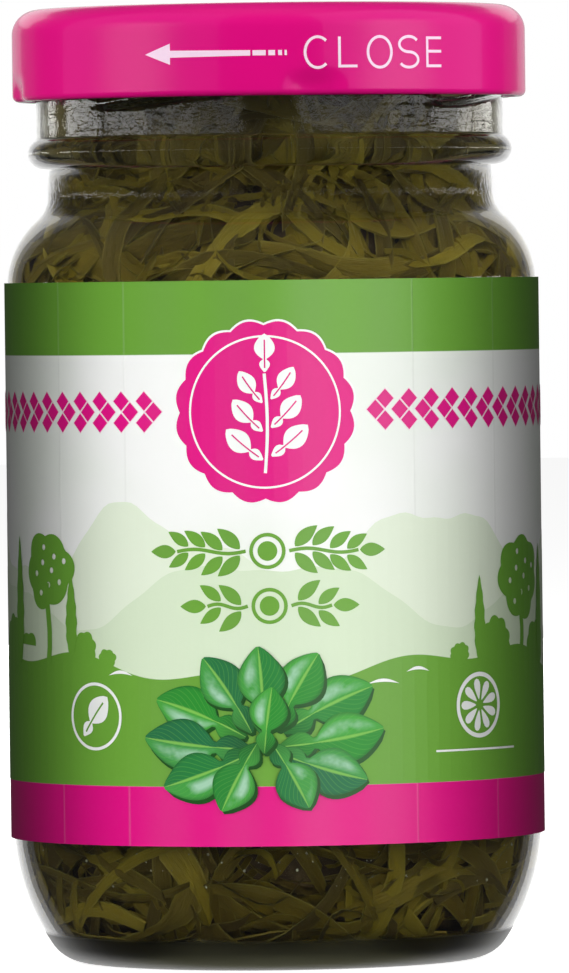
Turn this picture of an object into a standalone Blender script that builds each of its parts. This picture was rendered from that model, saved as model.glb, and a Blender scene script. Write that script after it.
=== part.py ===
"""A small glass jar of shredded makrut lime leaves in brine, with a wrap-round label and a twist-off lid.

Metres, +Z up. The origin is on the jar's axis, on the surface that it stands on, and the front faces -Y.
Angles are degrees anticlockwise seen from above, from +X, so the front is at 270.
Lengths below are millimetres, and MM turns them into metres where the meshes are made.
"""

import math
import random

import bmesh
import bpy
from mathutils import Vector

MM = 0.001
SIDES = 48  # flats round each turned piece
FRONT = 270.0
SHARP_ANGLE = math.radians(35)
CLEARANCE = 0.25  # between pieces that lie against each other
MERGE_DISTANCE = 1e-6  # metres

# Glass jar, outside
BODY_RADIUS = 26.1
BODY_LOW, BODY_HIGH = 14.0, 66.4  # the straight wall, where the label goes
HEEL_SWEEP, HEEL_CURL = 22.0, 4.0  # radii of the heel's long curve and of its turn under the jar
FOOT_INNER_RADIUS = 17.4  # inside of the flat ring that the jar stands on
PUSH_UP = 1.6  # height of the hollow under the base
PUSH_UP_CURVE = ((0.0, 1.0), (0.6, 0.8), (0.93, 0.3), (1.0, 0.0))  # shares of the foot's radius and of the height
SHOULDER_CROWN, SHOULDER_HOLLOW = 9.0, 3.0  # radii of the shoulder's round and of its turn into the neck
NECK_RADIUS = 21.94
BEAD_HEIGHT, BEAD_CORE_RADIUS, BEAD_SECTION = 79.65, 22.25, 1.65
FINISH_RADIUS = 23.07  # the plain wall that the threads stand on
LIP_HEIGHT, LIP_ROUND = 92.45, 0.9

# Glass jar, inside
CAVITY_RADIUS = 23.6
CAVITY_HEEL_SWEEP, CAVITY_HEEL_CURL = 19.5, 4.8
FLOOR_HEIGHT, FLOOR_CROWN = 2.3, 3.7
FLOOR_BEND = (0.4, 0.93)  # shares of the cavity's radius and of the crown's height where the floor falls away
CAVITY_HIGH = 63.0  # the cavity closes in below the outside's shoulder, so the glass is thickest there
CAVITY_CROWN, CAVITY_HOLLOW = 11.0, 5.0
BORE_RADIUS = 19.8

# Threads, which rise anticlockwise
STARTS = 4
THREAD_LEAD = 16.0  # rise in one turn
THREAD_SPAN = 121.0
THREAD_FOOT_ANGLE, THREAD_FOOT_HEIGHT = 224.0, 84.25  # middle of the low end of the first thread
THREAD_RADIUS = 23.9
THREAD_ROOT_HALF, THREAD_CREST_HALF = 0.65, 0.42
THREAD_RUN_OUT = 9.0  # angle over which a thread's ends fade into the wall
THREAD_END_ANGLE = 1.0  # how far along that run a thread's end section lies
THREAD_END_SHARE = 0.4  # width of an end, as a share of the full width
THREAD_SINK = 0.6  # depth of the threads' roots in the wall
THREAD_STEPS = 12

# Lid
LID_TOP, LID_BOTTOM = 93.85, 84.8
LID_RADIUS, LID_CORNER = 25.3, 2.5
SHEET = 0.3
CURL_SECTION, CURL_TUCK = 0.62, 0.4
PANEL_DROP, PANEL_EDGE, RIM_EDGE = 0.55, 17.4, 18.9
BUTTON_DROP, BUTTON_RADIUS, BUTTON_SLOPE = 0.3, 8.6, 1.4
LUG_ANGLE = 280.0  # the first lug, closed
LUG_REACH = 23.35
LUG_FOOT_DEPTH = 0.35  # how far a lug's foot stands in from the curl
LUG_LOW, LUG_HIGH = 84.95, 85.9
LUG_HALF_FLAT, LUG_HALF_FOOT = 4.0, 6.5

# Sealing ring inside the lid
SEAL_INNER, SEAL_OUTER = 19.6, 23.2
SEAL_LOW, SEAL_HIGH = 92.62, 93.35
SEAL_CHAMFER = 0.3

# Paper label
LABEL_INNER, LABEL_OUTER = 26.28, 26.45
LABEL_LOW, LABEL_HIGH = 12.4, 67.0
LABEL_GAP = 14.0  # angle left bare at the back

# Contents
BRINE_SIDES = 24
BRINE_LEVEL = 79.5  # behind the bead
BRINE_WALL = 1.0  # brine between the leaf strips and the glass
BRINE_FLOOR = 1.3  # brine under the leaf strips
BRINE_FOOT = 3.2  # lowest level of the brine's outer wall
BRINE_CORNER = 2.0  # rise from there to the inner wall's lowest level
LEAF_TOP = 87.6
CORE_DEPTH = 1.5  # how far the core of the packed strips lies behind their faces
CORE_SIDES = 24
CORE_FLOOR_SHARE = 0.6  # radius of the core's flat underside, as a share of the cavity's
CORE_BEVEL, CORE_CROWN = 1.2, 0.8  # rise of the core's lower edge, and of its top
STRIP_COUNT = 56
STRIP_SEED = 7
STRIP_LENGTHS = (14.0, 22.0)
STRIP_WIDTHS = (2.8, 5.2)
STRIP_THICKNESS = 2.1  # with the root, which is sunk in the core
STRIP_STATIONS = 5
STRIP_SLANT = 60.0  # at most, either way from level
STRIP_BOW = 2.0
STRIP_SINK = (0.4, 0.9)  # how far a strip's face lies behind the brine
STRIP_FLOOR = 6.0
GOLDEN_ANGLE = 137.508  # from each strip round to the next, which spreads them evenly


def clear_scene():
    for obj in list(bpy.data.objects):
        bpy.data.objects.remove(obj, do_unlink=True)


def make_material(name, colour, roughness, metallic=0.0, transmission=0.0):
    made = bpy.data.materials.new(name)
    made.use_nodes = True
    shader = made.node_tree.nodes["Principled BSDF"]
    shader.inputs["Base Color"].default_value = (*colour, 1.0)
    shader.inputs["Roughness"].default_value = roughness
    shader.inputs["Metallic"].default_value = metallic
    shader.inputs["Transmission Weight"].default_value = transmission
    return made


def arc(centre, radius, start, end, steps):
    """Points (r, z) along an arc, with both ends."""
    turned = [math.radians(start + (end - start) * i / steps) for i in range(steps + 1)]
    return [(centre[0] + radius * math.cos(a), centre[1] + radius * math.sin(a)) for a in turned]


def add_object(name, bm, material):
    bmesh.ops.recalc_face_normals(bm, faces=bm.faces)
    mesh = bpy.data.meshes.new(name)
    bm.to_mesh(mesh)
    bm.free()
    mesh.materials.append(material)
    mesh.shade_smooth()
    mesh.set_sharp_from_angle(angle=SHARP_ANGLE)
    obj = bpy.data.objects.new(name, mesh)
    bpy.context.scene.collection.objects.link(obj)
    return obj


def turn(name, profile, material, ring=False, sides=SIDES):
    """Spins a profile of (r, z) points round the axis. A ring's profile is closed; otherwise it ends on the axis."""
    bm = bmesh.new()
    verts = [bm.verts.new((r * MM, 0.0, z * MM)) for r, z in profile]
    pairs = list(zip(verts, verts[1:])) + ([(verts[-1], verts[0])] if ring else [])
    edges = [bm.edges.new(pair) for pair in pairs]
    bmesh.ops.spin(
        bm, geom=verts + edges, cent=(0, 0, 0), axis=(0, 0, 1), angle=math.tau, steps=sides, use_merge=True
    )
    bmesh.ops.remove_doubles(bm, verts=bm.verts, dist=MERGE_DISTANCE)
    return add_object(name, bm, material)


def sweep(name, sections, material):
    """Joins sections, lists of points in millimetres, into one closed rib."""
    bm = bmesh.new()
    rings = [[bm.verts.new(Vector(point) * MM) for point in section] for section in sections]
    count = len(rings[0])
    for ring, following in zip(rings, rings[1:]):
        for i in range(count):
            j = (i + 1) % count
            bm.faces.new((ring[i], ring[j], following[j], following[i]))
    bm.faces.new(rings[0])
    bm.faces.new(rings[-1])
    return add_object(name, bm, material)


def at_angle(degrees, profile):
    """Points in space of a profile of (r, z) points in the half-plane at that angle."""
    a = math.radians(degrees)
    return [(r * math.cos(a), r * math.sin(a), z) for r, z in profile]


def unite(base, others):
    """Fuses the others into base with one Boolean, and removes them."""
    group = bpy.data.collections.new(base.name + "_repeats")
    bpy.context.scene.collection.children.link(group)
    for obj in others:
        bpy.context.scene.collection.objects.unlink(obj)
        group.objects.link(obj)
    union = base.modifiers.new("union", "BOOLEAN")
    union.operation = "UNION"
    union.operand_type = "COLLECTION"
    union.collection = group
    union.solver = "EXACT"
    bpy.context.view_layer.update()
    evaluated = base.evaluated_get(bpy.context.evaluated_depsgraph_get())
    joined = bpy.data.meshes.new_from_object(evaluated)
    joined.set_sharp_from_angle(angle=SHARP_ANGLE)
    base.modifiers.clear()
    base.data = joined
    for obj in list(group.objects):
        bpy.data.objects.remove(obj, do_unlink=True)
    bpy.data.collections.remove(group)


def keep_outer_skin(obj):
    """Drops every shell but the largest, so that hollows which the strips close off are filled."""
    bm = bmesh.new()
    bm.from_mesh(obj.data)
    shells = []
    unseen = set(bm.faces)
    while unseen:
        shell = {unseen.pop()}
        edge_of_shell = list(shell)
        while edge_of_shell:
            face = edge_of_shell.pop()
            for other in {f for edge in face.edges for f in edge.link_faces} - shell:
                shell.add(other)
                edge_of_shell.append(other)
        unseen -= shell
        shells.append(shell)
    largest = max(shells, key=len)
    bmesh.ops.delete(bm, geom=[f for f in bm.faces if f not in largest], context="FACES")
    bm.to_mesh(obj.data)
    bm.free()


def glass_outside():
    """The outer profile, from the axis under the base up to the lip."""
    sweep_centre = (BODY_RADIUS - HEEL_SWEEP, BODY_LOW)
    reach = HEEL_SWEEP - HEEL_CURL
    curl_centre = (sweep_centre[0] + math.sqrt(reach**2 - (BODY_LOW - HEEL_CURL) ** 2), HEEL_CURL)
    heel_angle = -math.degrees(math.asin((BODY_LOW - HEEL_CURL) / reach))
    crown_centre = (BODY_RADIUS - SHOULDER_CROWN, BODY_HIGH)
    across = NECK_RADIUS + SHOULDER_HOLLOW - crown_centre[0]
    rise = math.sqrt((SHOULDER_CROWN + SHOULDER_HOLLOW) ** 2 - across**2)
    hollow_centre = (NECK_RADIUS + SHOULDER_HOLLOW, BODY_HIGH + rise)
    shoulder_angle = math.degrees(math.atan2(rise, across))
    bead_centre = (BEAD_CORE_RADIUS, BEAD_HEIGHT)
    bead_top = math.degrees(math.acos((FINISH_RADIUS - BEAD_CORE_RADIUS) / BEAD_SECTION))
    lip_centre = (FINISH_RADIUS - LIP_ROUND, LIP_HEIGHT - LIP_ROUND)
    return [
        *((FOOT_INNER_RADIUS * across, PUSH_UP * up) for across, up in PUSH_UP_CURVE),
        *arc(curl_centre, HEEL_CURL, -90, heel_angle, 4),
        *arc(sweep_centre, HEEL_SWEEP, heel_angle, 0, 4)[1:],
        *arc(crown_centre, SHOULDER_CROWN, 0, shoulder_angle, 5),
        *arc(hollow_centre, SHOULDER_HOLLOW, 180 + shoulder_angle, 180, 3)[1:],
        *arc(bead_centre, BEAD_SECTION, -100, bead_top, 6),
        *arc(lip_centre, LIP_ROUND, 0, 90, 3),
    ]


def cavity():
    """The inner profile, from the lip down to the axis at the floor."""
    sweep_centre = (CAVITY_RADIUS - CAVITY_HEEL_SWEEP, BODY_LOW)
    curl_height = FLOOR_HEIGHT + CAVITY_HEEL_CURL
    reach = CAVITY_HEEL_SWEEP - CAVITY_HEEL_CURL
    curl_centre = (sweep_centre[0] + math.sqrt(reach**2 - (BODY_LOW - curl_height) ** 2), curl_height)
    heel_angle = -math.degrees(math.asin((BODY_LOW - curl_height) / reach))
    crown_centre = (CAVITY_RADIUS - CAVITY_CROWN, CAVITY_HIGH)
    across = BORE_RADIUS + CAVITY_HOLLOW - crown_centre[0]
    rise = math.sqrt((CAVITY_CROWN + CAVITY_HOLLOW) ** 2 - across**2)
    hollow_centre = (BORE_RADIUS + CAVITY_HOLLOW, CAVITY_HIGH + rise)
    shoulder_angle = math.degrees(math.atan2(rise, across))
    lip_centre = (BORE_RADIUS + LIP_ROUND, LIP_HEIGHT - LIP_ROUND)
    return [
        *arc(lip_centre, LIP_ROUND, 90, 180, 3),
        *arc(hollow_centre, CAVITY_HOLLOW, 180, 180 + shoulder_angle, 3),
        *arc(crown_centre, CAVITY_CROWN, shoulder_angle, 0, 4)[1:],
        *arc(sweep_centre, CAVITY_HEEL_SWEEP, 0, heel_angle, 3),
        *arc(curl_centre, CAVITY_HEEL_CURL, heel_angle, -90, 3)[1:],
        (CAVITY_RADIUS * FLOOR_BEND[0], FLOOR_CROWN * FLOOR_BEND[1]),
        (0.0, FLOOR_CROWN),
    ]


def make_threads(material):
    """One rib for each start, which fades out at both ends."""
    root = FINISH_RADIUS - THREAD_SINK
    ribs = []
    for start in range(STARTS):
        sections = []
        for i in range(THREAD_STEPS + 1):
            along = THREAD_SPAN * i / THREAD_STEPS
            full = min(1.0, (min(along, THREAD_SPAN - along) + THREAD_END_ANGLE) / THREAD_RUN_OUT)
            breadth = THREAD_END_SHARE + (1 - THREAD_END_SHARE) * full
            middle = THREAD_FOOT_HEIGHT + THREAD_LEAD * along / 360
            crest = FINISH_RADIUS + (THREAD_RADIUS - FINISH_RADIUS) * full
            root_half = THREAD_ROOT_HALF * breadth
            crest_half = THREAD_CREST_HALF * breadth
            profile = [
                (root, middle - root_half),
                (crest, middle - crest_half),
                (crest, middle + crest_half),
                (root, middle + root_half),
            ]
            angle = THREAD_FOOT_ANGLE + along + start * 360 / STARTS
            sections.append(at_angle(angle, profile))
        ribs.append(sweep(f"thread_{start}", sections, material))
    return ribs


def make_jar(material):
    jar = turn("jar_glass", glass_outside() + cavity(), material)
    unite(jar, make_threads(material))


def lid_profile():
    """The lid's sheet as one closed outline: over the top, down the skirt, round the curl and back inside."""
    corner = (LID_RADIUS - LID_CORNER, LID_TOP - LID_CORNER)
    curl = (LID_RADIUS - CURL_SECTION, LID_BOTTOM + CURL_SECTION)
    panel = LID_TOP - PANEL_DROP
    button = panel - BUTTON_DROP
    return [
        (0.0, button),
        (BUTTON_RADIUS, button),
        (BUTTON_RADIUS + BUTTON_SLOPE, panel),
        (PANEL_EDGE, panel),
        (RIM_EDGE, LID_TOP),
        *arc(corner, LID_CORNER, 90, 0, 4),
        *arc(curl, CURL_SECTION, 0, -270, 6),
        (LID_RADIUS - SHEET, LID_BOTTOM + 2 * CURL_SECTION + CURL_TUCK),
        *arc(corner, LID_CORNER - SHEET, 0, 90, 3),
        (RIM_EDGE + SHEET / 2, LID_TOP - SHEET),
        (PANEL_EDGE + SHEET / 2, panel - SHEET),
        (BUTTON_RADIUS + BUTTON_SLOPE + SHEET / 3, panel - SHEET),
        (BUTTON_RADIUS + SHEET / 3, button - SHEET),
        (0.0, button - SHEET),
    ]


def make_lugs(material):
    """Tabs pressed inward from the curl, which catch under the threads."""
    root = LID_RADIUS - CURL_SECTION
    spans = [(-LUG_HALF_FOOT, root - LUG_FOOT_DEPTH), (-LUG_HALF_FLAT, LUG_REACH), (0.0, LUG_REACH)]
    spans += [(-offset, reach) for offset, reach in spans[1::-1]]
    lugs = []
    for lug in range(STARTS):
        middle = LUG_ANGLE + lug * 360 / STARTS
        sections = [
            at_angle(middle + offset, [(reach, LUG_LOW), (root, LUG_LOW), (root, LUG_HIGH), (reach, LUG_HIGH)])
            for offset, reach in spans
        ]
        lugs.append(sweep(f"lug_{lug}", sections, material))
    return lugs


def make_lid(material):
    lid = turn("lid_shell", lid_profile(), material)
    unite(lid, make_lugs(material))


def make_seal(material):
    profile = [
        (SEAL_INNER, SEAL_LOW),
        (SEAL_OUTER - SEAL_CHAMFER, SEAL_LOW),
        (SEAL_OUTER, SEAL_LOW + SEAL_CHAMFER),
        (SEAL_OUTER, SEAL_HIGH),
        (SEAL_INNER, SEAL_HIGH),
    ]
    turn("lid_seal", profile, material, ring=True)


def make_label(material):
    """A thin band round the straight wall, open at the back."""
    first = FRONT - 180 + LABEL_GAP / 2
    step = (360 - LABEL_GAP) / SIDES
    section = [
        (LABEL_INNER, LABEL_LOW),
        (LABEL_OUTER, LABEL_LOW),
        (LABEL_OUTER, LABEL_HIGH),
        (LABEL_INNER, LABEL_HIGH),
    ]
    sweep("label", [at_angle(first + step * i, section) for i in range(SIDES + 1)], material)


def cavity_radius(height):
    """Radius of the cavity's wall at a height, between the floor and the lip."""
    wall = cavity()
    for (upper_r, upper_z), (lower_r, lower_z) in zip(wall, wall[1:]):
        if lower_z <= height <= upper_z and upper_z > lower_z:
            share = (height - lower_z) / (upper_z - lower_z)
            return lower_r + (upper_r - lower_r) * share
    return BORE_RADIUS


def inset_wall(inset, low, high):
    """(r, z) points up the cavity's wall between two heights, at the wall's own levels, moved inward."""
    levels = [z for _, z in reversed(cavity()) if low < z < high]
    return [(cavity_radius(z) - inset, z) for z in (low, *levels, high)]


def make_brine(material):
    """The brine between the packed strips and the glass, up to its level, open where the strips stand out of it."""
    floor = FLOOR_CROWN + CLEARANCE
    outside = inset_wall(CLEARANCE, BRINE_FOOT, BRINE_LEVEL)
    inside = inset_wall(CLEARANCE + BRINE_WALL, BRINE_FOOT + BRINE_CORNER, BRINE_LEVEL)
    profile = [
        (0.0, floor),
        (CAVITY_RADIUS * FLOOR_BEND[0], floor),
        *outside,
        *reversed(inside),
        (0.0, floor + BRINE_FLOOR),
    ]
    turn("brine", profile, material, sides=BRINE_SIDES)


def strip_sections(rng, index, face):
    """Sections of one strip that lies along the wall of the pack, at a random slant, size and bow."""
    length = rng.uniform(*STRIP_LENGTHS)
    half_width = rng.uniform(*STRIP_WIDTHS) / 2
    slant = math.radians(rng.uniform(-STRIP_SLANT, STRIP_SLANT))
    bow = rng.uniform(-STRIP_BOW, STRIP_BOW)
    sink = rng.uniform(*STRIP_SINK)
    reach = length / 2 * abs(math.sin(slant)) + half_width + STRIP_BOW
    low, high = STRIP_FLOOR + reach, LEAF_TOP - reach
    middle_height = low + (high - low) * (index + 0.5) / STRIP_COUNT
    middle_angle = math.radians(GOLDEN_ANGLE * index)
    sections = []
    for i in range(STRIP_STATIONS):
        along = length * (i / (STRIP_STATIONS - 1) - 0.5)
        sideways = bow * (1 - (2 * along / length) ** 2)
        edges = []
        for across in (sideways - half_width, sideways + half_width):
            run = along * math.cos(slant) - across * math.sin(slant)
            height = middle_height + along * math.sin(slant) + across * math.cos(slant)
            radius = cavity_radius(height) - face - sink
            degrees = math.degrees(middle_angle + run / radius)
            edges.append(at_angle(degrees, [(radius, height), (radius - STRIP_THICKNESS, height)]))
        (outer_low, root_low), (outer_high, root_high) = edges
        sections.append([outer_low, outer_high, root_high, root_low])
    return sections


def make_leaf_strips(material):
    """The packed shreds as one body: a core, and strips that stand out of it against the brine."""
    face = 2 * CLEARANCE + BRINE_WALL
    floor = FLOOR_CROWN + BRINE_FLOOR + 3 * CLEARANCE
    core_wall = inset_wall(face + CORE_DEPTH, floor + CORE_BEVEL, LEAF_TOP - CORE_CROWN)
    core = [(0.0, floor), (CAVITY_RADIUS * CORE_FLOOR_SHARE, floor), *core_wall, (0.0, LEAF_TOP)]
    pack = turn("leaf_strips", core, material, sides=CORE_SIDES)
    rng = random.Random(STRIP_SEED)
    strips = [sweep(f"strip_{i}", strip_sections(rng, i, face), material) for i in range(STRIP_COUNT)]
    unite(pack, strips)
    keep_outer_skin(pack)


def main():
    clear_scene()
    make_jar(make_material("glass", (0.86, 0.90, 0.86), 0.03, transmission=1.0))
    make_label(make_material("label", (0.32, 0.47, 0.12), 0.45))
    make_brine(make_material("brine", (0.20, 0.17, 0.04), 0.05, transmission=0.7))
    make_leaf_strips(make_material("leaf_strips", (0.10, 0.085, 0.018), 0.6))
    make_lid(make_material("lid_shell", (0.75, 0.006, 0.20), 0.3))
    make_seal(make_material("lid_seal", (0.78, 0.76, 0.70), 0.6))


main()
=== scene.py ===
# Finishes, label print and fine forms for a jar of shredded makrut lime leaves in brine.
# Lengths in the dictionaries are millimetres and angles are degrees, unless a note says otherwise.
# The front faces -Y, and angles round the jar count from the front, to the right as the camera sees it.
import math
import random

import bpy
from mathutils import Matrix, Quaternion, Vector, noise


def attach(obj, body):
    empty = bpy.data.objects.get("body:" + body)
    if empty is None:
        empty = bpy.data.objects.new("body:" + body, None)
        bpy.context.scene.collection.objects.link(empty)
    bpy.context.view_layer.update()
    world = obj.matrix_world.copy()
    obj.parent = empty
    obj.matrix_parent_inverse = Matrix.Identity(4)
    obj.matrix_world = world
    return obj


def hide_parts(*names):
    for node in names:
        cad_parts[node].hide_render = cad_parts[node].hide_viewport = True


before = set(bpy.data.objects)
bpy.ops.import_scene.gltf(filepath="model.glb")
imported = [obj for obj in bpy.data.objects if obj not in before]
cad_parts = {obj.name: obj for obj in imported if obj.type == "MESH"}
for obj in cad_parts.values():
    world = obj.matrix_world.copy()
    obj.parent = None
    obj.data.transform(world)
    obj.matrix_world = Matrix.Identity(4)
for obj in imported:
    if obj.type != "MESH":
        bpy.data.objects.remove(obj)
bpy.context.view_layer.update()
bpy.ops.object.select_all(action="DESELECT")
mm = 0.001
print("frame loaded")


# shader maths

class Wire:  # an output socket that adds and multiplies like a number
    def __init__(self, look, socket):
        self.look = look
        self.socket = socket

    def maths(self, operation, first, second=0.0, clamp=False):
        settings = {"operation": operation, "use_clamp": clamp}
        return self.look.node("ShaderNodeMath", settings, {0: first, 1: second})

    def __add__(self, other):
        return self.maths("ADD", self, other)

    def __radd__(self, other):
        return self.maths("ADD", other, self)

    def __sub__(self, other):
        return self.maths("SUBTRACT", self, other)

    def __rsub__(self, other):
        return self.maths("SUBTRACT", other, self)

    def __mul__(self, other):
        return self.maths("MULTIPLY", self, other)

    def __rmul__(self, other):
        return self.maths("MULTIPLY", other, self)

    def __abs__(self):
        return self.maths("ABSOLUTE", self)

    def between(self, low, high):  # 0 at low, 1 at high, and straight in between
        return self.maths("MULTIPLY", self - low, 1 / (high - low), clamp=True)


class Look:  # a material, or the world, and its nodes
    def __init__(self, owner):
        owner.use_nodes = True
        self.owner = owner
        self.tree = owner.node_tree
        self.shader = self.tree.nodes.get("Principled BSDF")

    def feed(self, socket, value):
        if isinstance(value, Wire):
            self.tree.links.new(value.socket, socket)
        else:
            socket.default_value = value

    def node(self, kind, settings=None, inputs=None, output=0):
        made = self.tree.nodes.new(kind)
        for key, value in (settings or {}).items():
            if key == "stops":
                self.setStops(made.color_ramp, value)
            else:
                setattr(made, key, value)
        for key, value in (inputs or {}).items():
            self.feed(made.inputs[key], value)
        return Wire(self, made.outputs[output])

    def setStops(self, ramp, stops):
        while len(ramp.elements) < len(stops):
            ramp.elements.new(1.0)
        for element, (position, colour) in zip(ramp.elements, stops):
            element.position = position
            element.color = (*colour, 1.0)

    def mix(self, factor, first, second):
        wide = [value if isinstance(value, Wire) else (*value, 1.0) for value in (first, second)]
        settings = {"data_type": "RGBA"}
        return self.node("ShaderNodeMix", settings, {0: factor, 6: wide[0], 7: wide[1]}, output=2)

    def place(self, output="Object"):
        return self.node("ShaderNodeTexCoord", output=output)

    def parts(self, vector):
        made = self.node("ShaderNodeSeparateXYZ", inputs={0: vector}).socket.node
        return [Wire(self, socket) for socket in made.outputs]

    def noise(self, vector, scale, detail=3.0, roughness=0.5):
        sockets = {"Vector": vector, "Scale": scale, "Detail": detail, "Roughness": roughness}
        return self.node("ShaderNodeTexNoise", inputs=sockets)

    def bump(self, height, distance):  # distance in metres
        return self.node("ShaderNodeBump", inputs={"Height": height, "Distance": distance, "Strength": 1.0})

    def finish(self, **sockets):
        for name, value in sockets.items():
            label = name.replace("_", " ")
            wide = (*value, 1.0) if isinstance(value, tuple) and len(value) == 3 else value
            self.feed(self.shader.inputs[label], wide)
        return self.owner


def newLook(name):
    return Look(bpy.data.materials.new(name))


# modelling helpers

def selectOnly(*pieces):
    bpy.ops.object.select_all(action="DESELECT")
    for piece in pieces:
        piece.select_set(True)
    bpy.context.view_layer.objects.active = pieces[0]


def joinPieces(name, pieces):
    selectOnly(*pieces)
    bpy.ops.object.join()
    piece = bpy.context.object
    piece.name = name
    return piece


def arc(centreR, centreZ, radius, start, end, steps):
    angles = [math.radians(start + (end - start) * i / steps) for i in range(steps + 1)]
    return [(centreR + radius * math.cos(a), centreZ + radius * math.sin(a)) for a in angles]


def rows(start, end, spacing):  # evenly spaced points between two points, without either
    (r0, z0), (r1, z1) = start, end
    count = max(1, round(math.hypot(r1 - r0, z1 - z0) / spacing))
    return [(r0 + (r1 - r0) * i / count, z0 + (z1 - z0) * i / count) for i in range(1, count)]


def turnProfile(name, profile, steps, closed=False):  # extrudes a vertex through (r, z) points and spins it
    points = profile + profile[:1] if closed else profile
    bpy.ops.object.select_all(action="DESELECT")
    bpy.ops.mesh.primitive_plane_add(size=mm)
    piece = bpy.context.object
    piece.name = name
    bpy.ops.object.mode_set(mode="EDIT")
    bpy.ops.mesh.merge(type="CENTER")
    bpy.ops.transform.translate(value=(points[0][0] * mm, 0, points[0][1] * mm))
    for (r0, z0), (r1, z1) in zip(points, points[1:]):
        step = ((r1 - r0) * mm, 0, (z1 - z0) * mm)
        bpy.ops.mesh.extrude_vertices_move(TRANSFORM_OT_translate={"value": step})
    bpy.ops.mesh.select_all(action="SELECT")
    bpy.ops.mesh.spin(steps=steps, angle=math.tau, center=(0, 0, 0), axis=(0, 0, 1))
    tidyMesh()
    bpy.ops.object.mode_set(mode="OBJECT")
    bpy.ops.object.shade_smooth()
    return piece


def tidyMesh():  # in edit mode
    bpy.ops.mesh.select_all(action="SELECT")
    bpy.ops.mesh.remove_doubles(threshold=2e-6)
    bpy.ops.mesh.normals_make_consistent(inside=False)


def gridPiece(name, columns, rowCount, place):  # a grid whose points go to place(u, v), both from 0 to 1
    bpy.ops.object.select_all(action="DESELECT")
    bpy.ops.mesh.primitive_grid_add(x_subdivisions=columns, y_subdivisions=rowCount, size=2)
    piece = bpy.context.object
    piece.name = name
    for vertex in piece.data.vertices:
        vertex.co = Vector(place((vertex.co.x + 1) / 2, (vertex.co.y + 1) / 2))
    return piece


def copyOf(master):  # with a mesh of its own
    made = master.copy()
    made.data = master.data.copy()
    bpy.context.scene.collection.objects.link(made)
    return made


def setTone(piece, tone):
    shade = piece.data.attributes.new("tone", "FLOAT", "POINT")
    shade.data.foreach_set("value", [tone] * len(piece.data.vertices))


def thicken(piece, thickness):  # inwards, in millimetres
    selectOnly(piece)
    wall = piece.modifiers.new("wall", "SOLIDIFY")
    wall.thickness = thickness * mm
    wall.offset = -1
    bpy.ops.object.modifier_apply(modifier=wall.name)


def smoothByAngle(piece, degrees):
    selectOnly(piece)
    bpy.ops.object.shade_smooth_by_angle(angle=math.radians(degrees))


def dress(piece, material, body, slot, *replaced):
    piece.data.materials.clear()
    piece.data.materials.append(material)
    settle(piece, body, slot, *replaced)


def settle(piece, body, slot, *replaced):
    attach(piece, body)
    if replaced:
        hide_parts(*replaced)


def smoothStep(value):
    value = min(1.0, max(0.0, value))
    return value * value * (3 - 2 * value)


def roundAngle(point):  # degrees from the front, to the right
    return math.degrees(math.atan2(point.x, -point.y))


# camera, floor and studio

view = {
    "distance": 1093.0,
    "eyeHeight": 67.0,
    "aim": (1.05, 0.0, 46.6),
    "frameHeight": 96.03,  # what the frame's height takes in at the jar's axis
    "roll": 0.71,
    "sensor": 36.0,
}


def makeCamera():
    eye = Vector((0, -view["distance"], view["eyeHeight"])) * mm
    gaze = Vector(view["aim"]) * mm - eye
    bpy.ops.object.camera_add(location=eye)
    camera = bpy.context.object
    camera.rotation_mode = "QUATERNION"
    roll = Quaternion((0, 0, 1), math.radians(-view["roll"]))
    camera.rotation_quaternion = gaze.to_track_quat("-Z", "Y") @ roll
    camera.data.sensor_width = view["sensor"]
    camera.data.lens = view["sensor"] * view["distance"] / view["frameHeight"]
    camera.data.clip_end = 20
    bpy.context.scene.camera = camera


studio = {
    "floorSize": 6.0,  # metres
    "floorColour": (0.9, 0.9, 0.89),
    "floorGlow": 0.82,
    "skyForDiffuse": 0.12,
    "glossLevel": 0.045,  # what a level reflection sees, and what one from above does
    "glossAbove": 0.12,
    "contentsLow": 0.45,  # the light that reaches the leaves from below and from above
    "contentsHigh": 4.6,
    "brightest": 1.7,
    # what shows through the clear glass: (angle from the camera, colour)
    "surround": [(180, (1.7, 1.7, 1.7)), (176, (1.2, 1.2, 1.15)), (170, (0.42, 0.4, 0.32)),
                 (162, (0.13, 0.115, 0.06)), (135, (0.075, 0.06, 0.02)), (0, (0.06, 0.05, 0.02))],
    "zenith": (0.08, 0.07, 0.035),
    "nadir": (0.07, 0.065, 0.035),
}


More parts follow.
